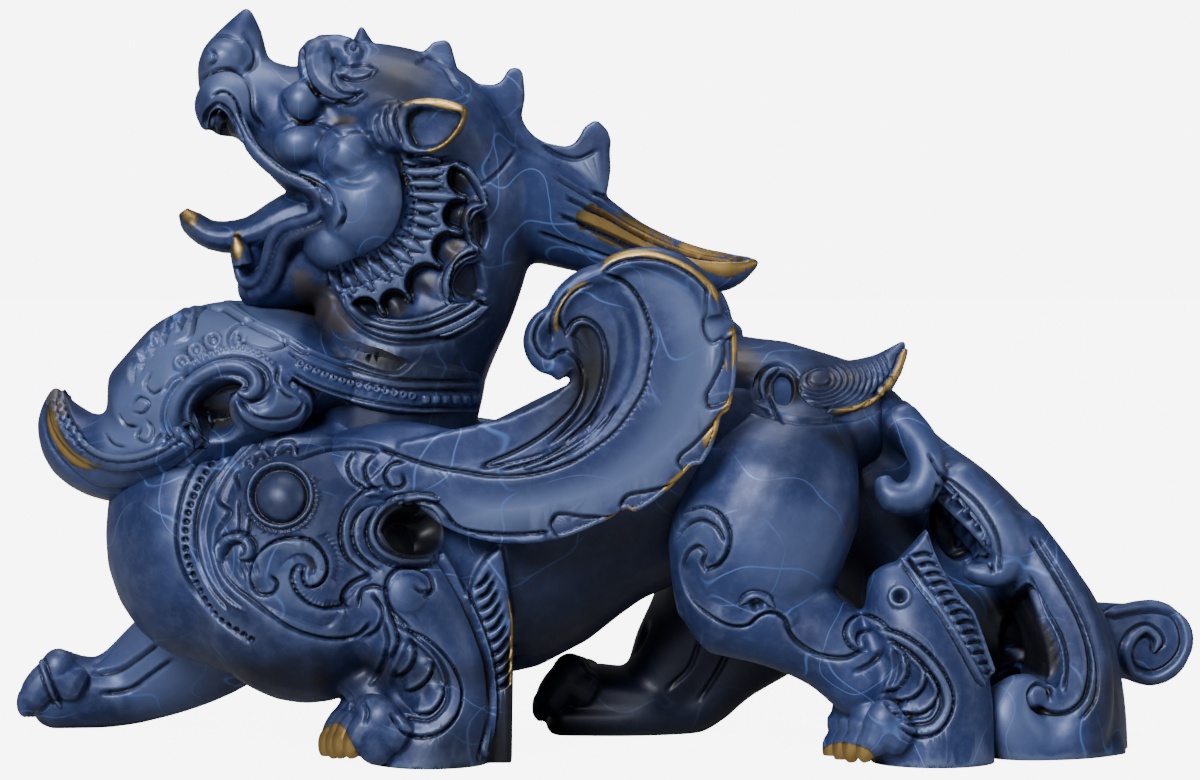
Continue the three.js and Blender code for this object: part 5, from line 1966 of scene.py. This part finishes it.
    def light_and_shade(self) -> list[Layer]:
        """Paints highlights on the foot, back and curl, and shade in the hollows and on the faces near the
        middle.

        Returns:
            The layers to paint.
        """
        paint = self.blank()
        for u, v, radius, share in (
                (1014, 712, 50, 0.6), (1050, 740, 60, 0.2), (1160, 645, 46, 0.3), (910, 480, 34, 0.3)):
            paint.dome(u, v, radius, share, 1.0)
        paint.groove(40, -0.5, "930,460 990,530 1040,600")
        paint.groove(40, 0.25, "1060,600 1085,700")
        paint.panel("1070,680 1130,660 1130,790 1090,790 1080,730", -0.5, 20)
        paint.panel("936,480 954,492 972,512 986,532 982,556 950,556 920,520", -0.5, 8)
        paint.panel("1010,592 1030,582 1046,612 1060,640 1065,668 1050,684 1020,666 990,664 980,620", -0.9, 8)
        inner = Relief((820, 380), (1060, 700))
        inner.panel("820,400 880,410 912,440 920,490 960,580 1030,600 1040,700 900,700 820,520", -0.75, 12)
        return [Layer(paint, turn=Turn.ROUND), Layer(inner, turn=Turn.ANY, within=13)]


@dataclass(frozen=True)
class Colours:
    """The finish's colours, as the light returns them."""

    # Dark patina in the hollows, also used as painted shade.
    deep: Point = (0.003, 0.0036, 0.008)
    blue: Point = (0.013, 0.023, 0.086)
    pale: Point = (0.021, 0.039, 0.138)
    # A pale bloom in random patches of the patina, also used as the painted highlight colour.
    bloom_and_highlight: Point = (0.088, 0.124, 0.268)
    vein: Point = (0.07, 0.14, 0.38)
    # Paler ridges: partly worn patina, partly a painted highlight.
    edge: Point = (0.13, 0.17, 0.30)
    # Grey-brown rubbed patina, also used for a painted highlight on the back of the thigh.
    rubbed_and_highlight: Point = (0.066, 0.056, 0.062)
    olive: Point = (0.10, 0.078, 0.034)
    brass: Point = (0.46, 0.30, 0.10)


class Wiring:
    """A shader's node tree, to which nodes are added with their inputs joined."""

    def __init__(self, tree: bpy.types.NodeTree) -> None:
        """Starts on a tree."""
        self.tree = tree

    def join(self, source: object, socket: bpy.types.NodeSocket) -> None:
        """Feeds an input from an output, or gives it a plain value.

        Args:
            source: A value, or the socket that gives it.
            socket: The socket that takes it.
        """
        if isinstance(source, bpy.types.NodeSocket):
            self.tree.links.new(source, socket)
        else:
            socket.default_value = source

    def node(self, kind: str, links: dict, **values: object) -> bpy.types.Node:
        """Adds a node.

        Args:
            kind: Its type without the ShaderNode prefix.
            links: For each input, by name or number, the output that feeds it or its plain value.
            values: Its properties.

        Returns:
            The node.
        """
        node = self.tree.nodes.new(f"ShaderNode{kind}")
        for key, value in values.items():
            setattr(node, key, value)
        for key, source in links.items():
            self.join(source, node.inputs[key])
        return node

    def math(self, operation: str, *terms: object) -> bpy.types.NodeSocket:
        """Works something out from one or two terms."""
        return self.node("Math", dict(enumerate(terms)), operation=operation).outputs[0]

    def noise(self, vector: object, scale: object, detail: float, roughness: float = 0.5) -> object:
        """Noise of so many waves to the metre."""
        links = {"Vector": vector, "Scale": scale, "Detail": detail, "Roughness": roughness}
        return self.node("TexNoise", links).outputs[0]

    def ramp(self, value: object, low: float = 0.0, high: object = 1.0, start: float = 0.0,
             end: float = 1.0, shape: str = "LINEAR") -> bpy.types.NodeSocket:
        """Maps what lies between low and high to what lies between start and end."""
        links = {"Value": value, "From Min": low, "From Max": high, "To Min": start, "To Max": end}
        return self.node("MapRange", links, interpolation_type=shape).outputs[0]

    def mix(self, share: bpy.types.NodeSocket, first: object, second: object) -> bpy.types.NodeSocket:
        """Mixes two colours, each a socket or a plain colour.

        Args:
            share: How much of the second shows.
            first: A colour.
            second: Another colour.

        Returns:
            The mixed colour.
        """
        node = self.node("Mix", {"Factor": share}, data_type="RGBA")
        for name, source in (("A", first), ("B", second)):
            socket = next(s for s in node.inputs if s.name == name and s.type == "RGBA")
            self.join(source if isinstance(source, bpy.types.NodeSocket) else (*source, 1), socket)
        return next(s for s in node.outputs if s.type == "RGBA")


class Group(Wiring):
    """A shader node group with named inputs and outputs."""

    def __init__(self, name: str, inputs: Iterable[tuple], outputs: Iterable[str]) -> None:
        """Starts the group.

        Args:
            name: Its name.
            inputs: The name, type and value of each input, with None for no value.
            outputs: The name of each output, which is a number.
        """
        super().__init__(bpy.data.node_groups.new(name, "ShaderNodeTree"))
        for label, kind, value in inputs:
            socket = self.tree.interface.new_socket(label, in_out="INPUT", socket_type=f"NodeSocket{kind}")
            if value is not None:
                socket.default_value = value
        for label in outputs:
            self.tree.interface.new_socket(label, in_out="OUTPUT", socket_type="NodeSocketFloat")
        self.inside = self.tree.nodes.new("NodeGroupInput").outputs
        self.out = self.tree.nodes.new("NodeGroupOutput").inputs


@dataclass(frozen=True)
class PatinatedBrass:
    """Brass under a veined blue patina, dark in the hollows as patina and painted shade, worn through on the
    edges.
    """

    colours: Colours = field(default_factory=Colours)
    roughness: float = 0.46
    vein_scale: float = 42.0
    vein_width: float = 0.0055

    def veins(self) -> Group:
        """The group that draws thin wandering veins, where two kinds of noise pass their middle value.

        Returns:
            The node group.
        """
        inputs = (("Vector", "Vector", None), ("Scale", "Float", 40.0), ("Width", "Float", self.vein_width))
        group = Group("Wandering veins", inputs, ("Vein", "Cloud"))
        vector, scale, width = (group.inside[name] for name in ("Vector", "Scale", "Width"))
        lines = []
        for shift in (0.0, 3.7):
            moved = group.node("VectorMath", {0: vector, 1: (shift, shift, shift)}, operation="ADD")
            waves = group.noise(moved.outputs[0], scale, 1.0, 0.35)
            away = group.math("ABSOLUTE", group.math("SUBTRACT", waves, 0.5))
            lines.append(group.ramp(away, 0.0, width, 1.0, 0.0, "SMOOTHSTEP"))
        patches = group.noise(vector, 55.0, 2.0)
        shown = group.ramp(patches, 0.42, 0.56)
        group.join(group.math("MULTIPLY", group.math("MAXIMUM", *lines), shown), group.out["Vein"])
        group.join(patches, group.out["Cloud"])
        return group

    def wear(self) -> Group:
        """The group that breaks a painted edge up with grain.

        Returns:
            The node group.
        """
        group = Group("Worn edges", (("Vector", "Vector", None), ("Painted", "Float", 0.0)), ("Bare",))
        grain = group.ramp(group.noise(group.inside["Vector"], 600.0, 4.0), 0.3, 0.7, -0.28, 0.28)
        summed = group.math("ADD", group.inside["Painted"], grain)
        group.join(group.ramp(summed, 0.42, 0.62, shape="SMOOTHSTEP"), group.out["Bare"])
        return group

    def material(self) -> bpy.types.Material:
        """Builds the finish.

        Returns:
            The material.
        """
        material = bpy.data.materials.new("patinated_brass")
        material.use_nodes = True
        shader = material.node_tree.nodes["Principled BSDF"].inputs
        wiring = Wiring(material.node_tree)
        place = wiring.node("TexCoord", {}).outputs["Object"]
        # The maps: bare brass, rubbed patina with a painted highlight, painted light and shade, and the
        # hollows.
        names = ("worn", "rubbed_and_highlight", "light_and_shade", "hollow")
        maps = {name: wiring.node("Attribute", {}, attribute_name=name).outputs["Fac"] for name in names}
        bare = wiring.math("SUBTRACT", maps["worn"], wiring.ramp(maps["hollow"], 0.54, 0.85))
        wear = wiring.node("Group", {"Vector": place, "Painted": bare}, node_tree=self.wear().tree)
        wear = wear.outputs["Bare"]
        brass = wiring.mix(wiring.ramp(bare, 0.5), self.colours.olive, self.colours.brass)
        wiring.join(wiring.mix(wear, self.patina(wiring, place, maps), brass), shader["Base Color"])
        wiring.join(wiring.ramp(wear, start=0.35), shader["Metallic"])
        gloss = wiring.ramp(
            wiring.noise(place, 300.0, 3.0), start=self.roughness - 0.08, end=self.roughness + 0.12)
        wiring.join(gloss, shader["Roughness"])
        grain = wiring.noise(place, 900.0, 4.0)
        bump = wiring.node("Bump", {"Strength": 0.12, "Distance": 0.0003, "Height": grain})
        wiring.join(bump.outputs[0], shader["Normal"])
        for socket, value in (("Specular IOR Level", 0.34), ("Coat Weight", 0.18), ("Coat Roughness", 0.38)):
            shader[socket].default_value = value
        return material

    def patina(self, wiring: Wiring, place: bpy.types.NodeSocket, maps: dict) -> bpy.types.NodeSocket:
        """Lays the patina's colours over one another, with the painted highlights and painted shade.

        Args:
            wiring: The material's nodes.
            place: The place on the piece.
            maps: The painted maps and the hollows.

        Returns:
            The patina's colour.
        """
        ramp, colours, hollow, light_and_shade = wiring.ramp, self.colours, maps["hollow"], maps["light_and_shade"]
        veins = wiring.node("Group", {"Vector": place, "Scale": self.vein_scale}, node_tree=self.veins().tree)
        rub_and_highlight = wiring.math("MULTIPLY", maps["rubbed_and_highlight"], wiring.noise(place, 260.0, 3.0))
        coats = (
            (ramp(veins.outputs["Cloud"], 0.35, 0.7), colours.pale),
            (ramp(wiring.noise(place, 380.0, 6.0, 0.7), 0.46, 0.76, end=0.34), colours.bloom_and_highlight),
            # Painted highlights where the light-and-shade map is above nothing, then the veins.
            (ramp(light_and_shade), colours.bloom_and_highlight), (veins.outputs["Vein"], colours.vein),
            # Rubbed grey-brown with one painted highlight; paler ridges, partly worn patina and partly
            # painted highlight.
            (ramp(rub_and_highlight, 0.2, 0.42), colours.rubbed_and_highlight), (ramp(hollow, 0.42, 0.12, end=0.42), colours.edge),
            # Dark hollows, partly patina and partly painted shade; painted shade where the light-and-shade
            # map is below nothing.
            (ramp(hollow, 0.56, 0.95), colours.deep), (ramp(light_and_shade, high=-1.0), colours.deep))
        colour = colours.blue
        for share, coat in coats:
            colour = wiring.mix(share, colour, coat)
        return colour


@dataclass(frozen=True)
class Lamp:
    """A square lamp that shines on the beast, in metres and watts."""

    name: str
    place: Point
    size: float
    power: float


@dataclass(frozen=True)
class Studio:
    """A pale floor, a white surround, a broad main light, soft lamps and the camera."""

    floor_size: float = 6.0
    floor_grey: float = 0.34
    floor_roughness: float = 0.6
    floor_lift: float = 7.0
    surround: float = 0.13
    backdrop: float = 7.0
    sun: Point = (-0.42, -0.95, 0.66)
    sun_strength: float = 4.5
    sun_width: float = 22.0
    lamps: tuple[Lamp, ...] = (
        Lamp("top", (0.0, 0.10, 0.80), 0.4, 3.4), Lamp("side", (0.9, -0.25, 0.35), 0.3, 1.6))
    lit: Point = (0.0, 0.0, 0.07)
    focal_length: float = 135.0
    sensor: float = 36.0
    clip: float = 0.01
    eye: Point = (0.00055, -0.9, 0.116)
    aim: Point = (0.00055, 0.0, 0.0712)

    def build(self) -> None:
        """Builds the floor, the surround, the lights and the camera."""
        self.floor()
        self.world()
        self.lights()
        self.camera()

    def floor(self) -> None:
        """Lays the floor, which is lifted to the backdrop's white where the camera sees it."""
        grid = bmesh.new()
        bmesh.ops.create_grid(grid, x_segments=1, y_segments=1, size=self.floor_size / 2)
        mesh = bpy.data.meshes.new("floor")
        grid.to_mesh(mesh)
        grid.free()
        ground = shown("floor", mesh)
        paint = bpy.data.materials.new("floor")
        paint.use_nodes = True
        wiring = Wiring(paint.node_tree)
        shader = paint.node_tree.nodes["Principled BSDF"].inputs
        shader["Base Color"].default_value = (self.floor_grey, self.floor_grey, self.floor_grey, 1)
        shader["Roughness"].default_value = self.floor_roughness
        wiring.join(wiring.node("LightPath", {}).outputs["Is Camera Ray"], shader["Emission Color"])
        shader["Emission Strength"].default_value = self.floor_lift
        mesh.materials.append(paint)
        ground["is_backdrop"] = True

    def world(self) -> None:
        """Sets the white surround, which is brighter where the camera sees it."""
        world = bpy.data.worlds.new("surround")
        world.use_nodes = True
        wiring = Wiring(world.node_tree)
        background = world.node_tree.nodes["Background"].inputs
        background["Color"].default_value = (1, 1, 1, 1)
        seen = wiring.node("LightPath", {}).outputs["Is Camera Ray"]
        wiring.join(wiring.ramp(seen, start=self.surround, end=self.backdrop), background["Strength"])
        bpy.context.scene.world = world

    def lights(self) -> None:
        """Sets the broad main light and hangs the lamps."""
        light = bpy.data.lights.new("main", "SUN")
        light.energy, light.angle = self.sun_strength, math.radians(self.sun_width)
        shown("main", light).rotation_euler = looking(self.sun, (0, 0, 0))
        for lamp in self.lamps:
            light = bpy.data.lights.new(lamp.name, "AREA")
            light.size, light.energy = lamp.size, lamp.power
            hung = shown(lamp.name, light)
            hung.location, hung.rotation_euler = lamp.place, looking(lamp.place, self.lit)

    def camera(self) -> None:
        """Sets up the camera."""
        data = bpy.data.cameras.new("camera")
        data.lens, data.sensor_width, data.clip_start = self.focal_length, self.sensor, self.clip
        camera = shown("camera", data)
        camera.location, camera.rotation_euler = self.eye, looking(self.eye, self.aim)
        bpy.context.scene.camera = camera


def corners() -> list[list[float]]:
    """The lowest and highest corner of what is shown."""
    return [list(corner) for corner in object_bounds()]


def main() -> None:
    """Builds the pieces and the studio."""
    logging.basicConfig(level=logging.INFO, format="%(relativeCreated)d ms %(message)s")
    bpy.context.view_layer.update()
    work = Work().scaled(1.0)
    finish = PatinatedBrass().material()
    for piece in (Head(), BreastPlate(), Wings(), Forequarters(), Hindquarters(), Tail()):
        piece.build(work, finish)
    Studio().build()


if __name__ == "__main__":
    main()
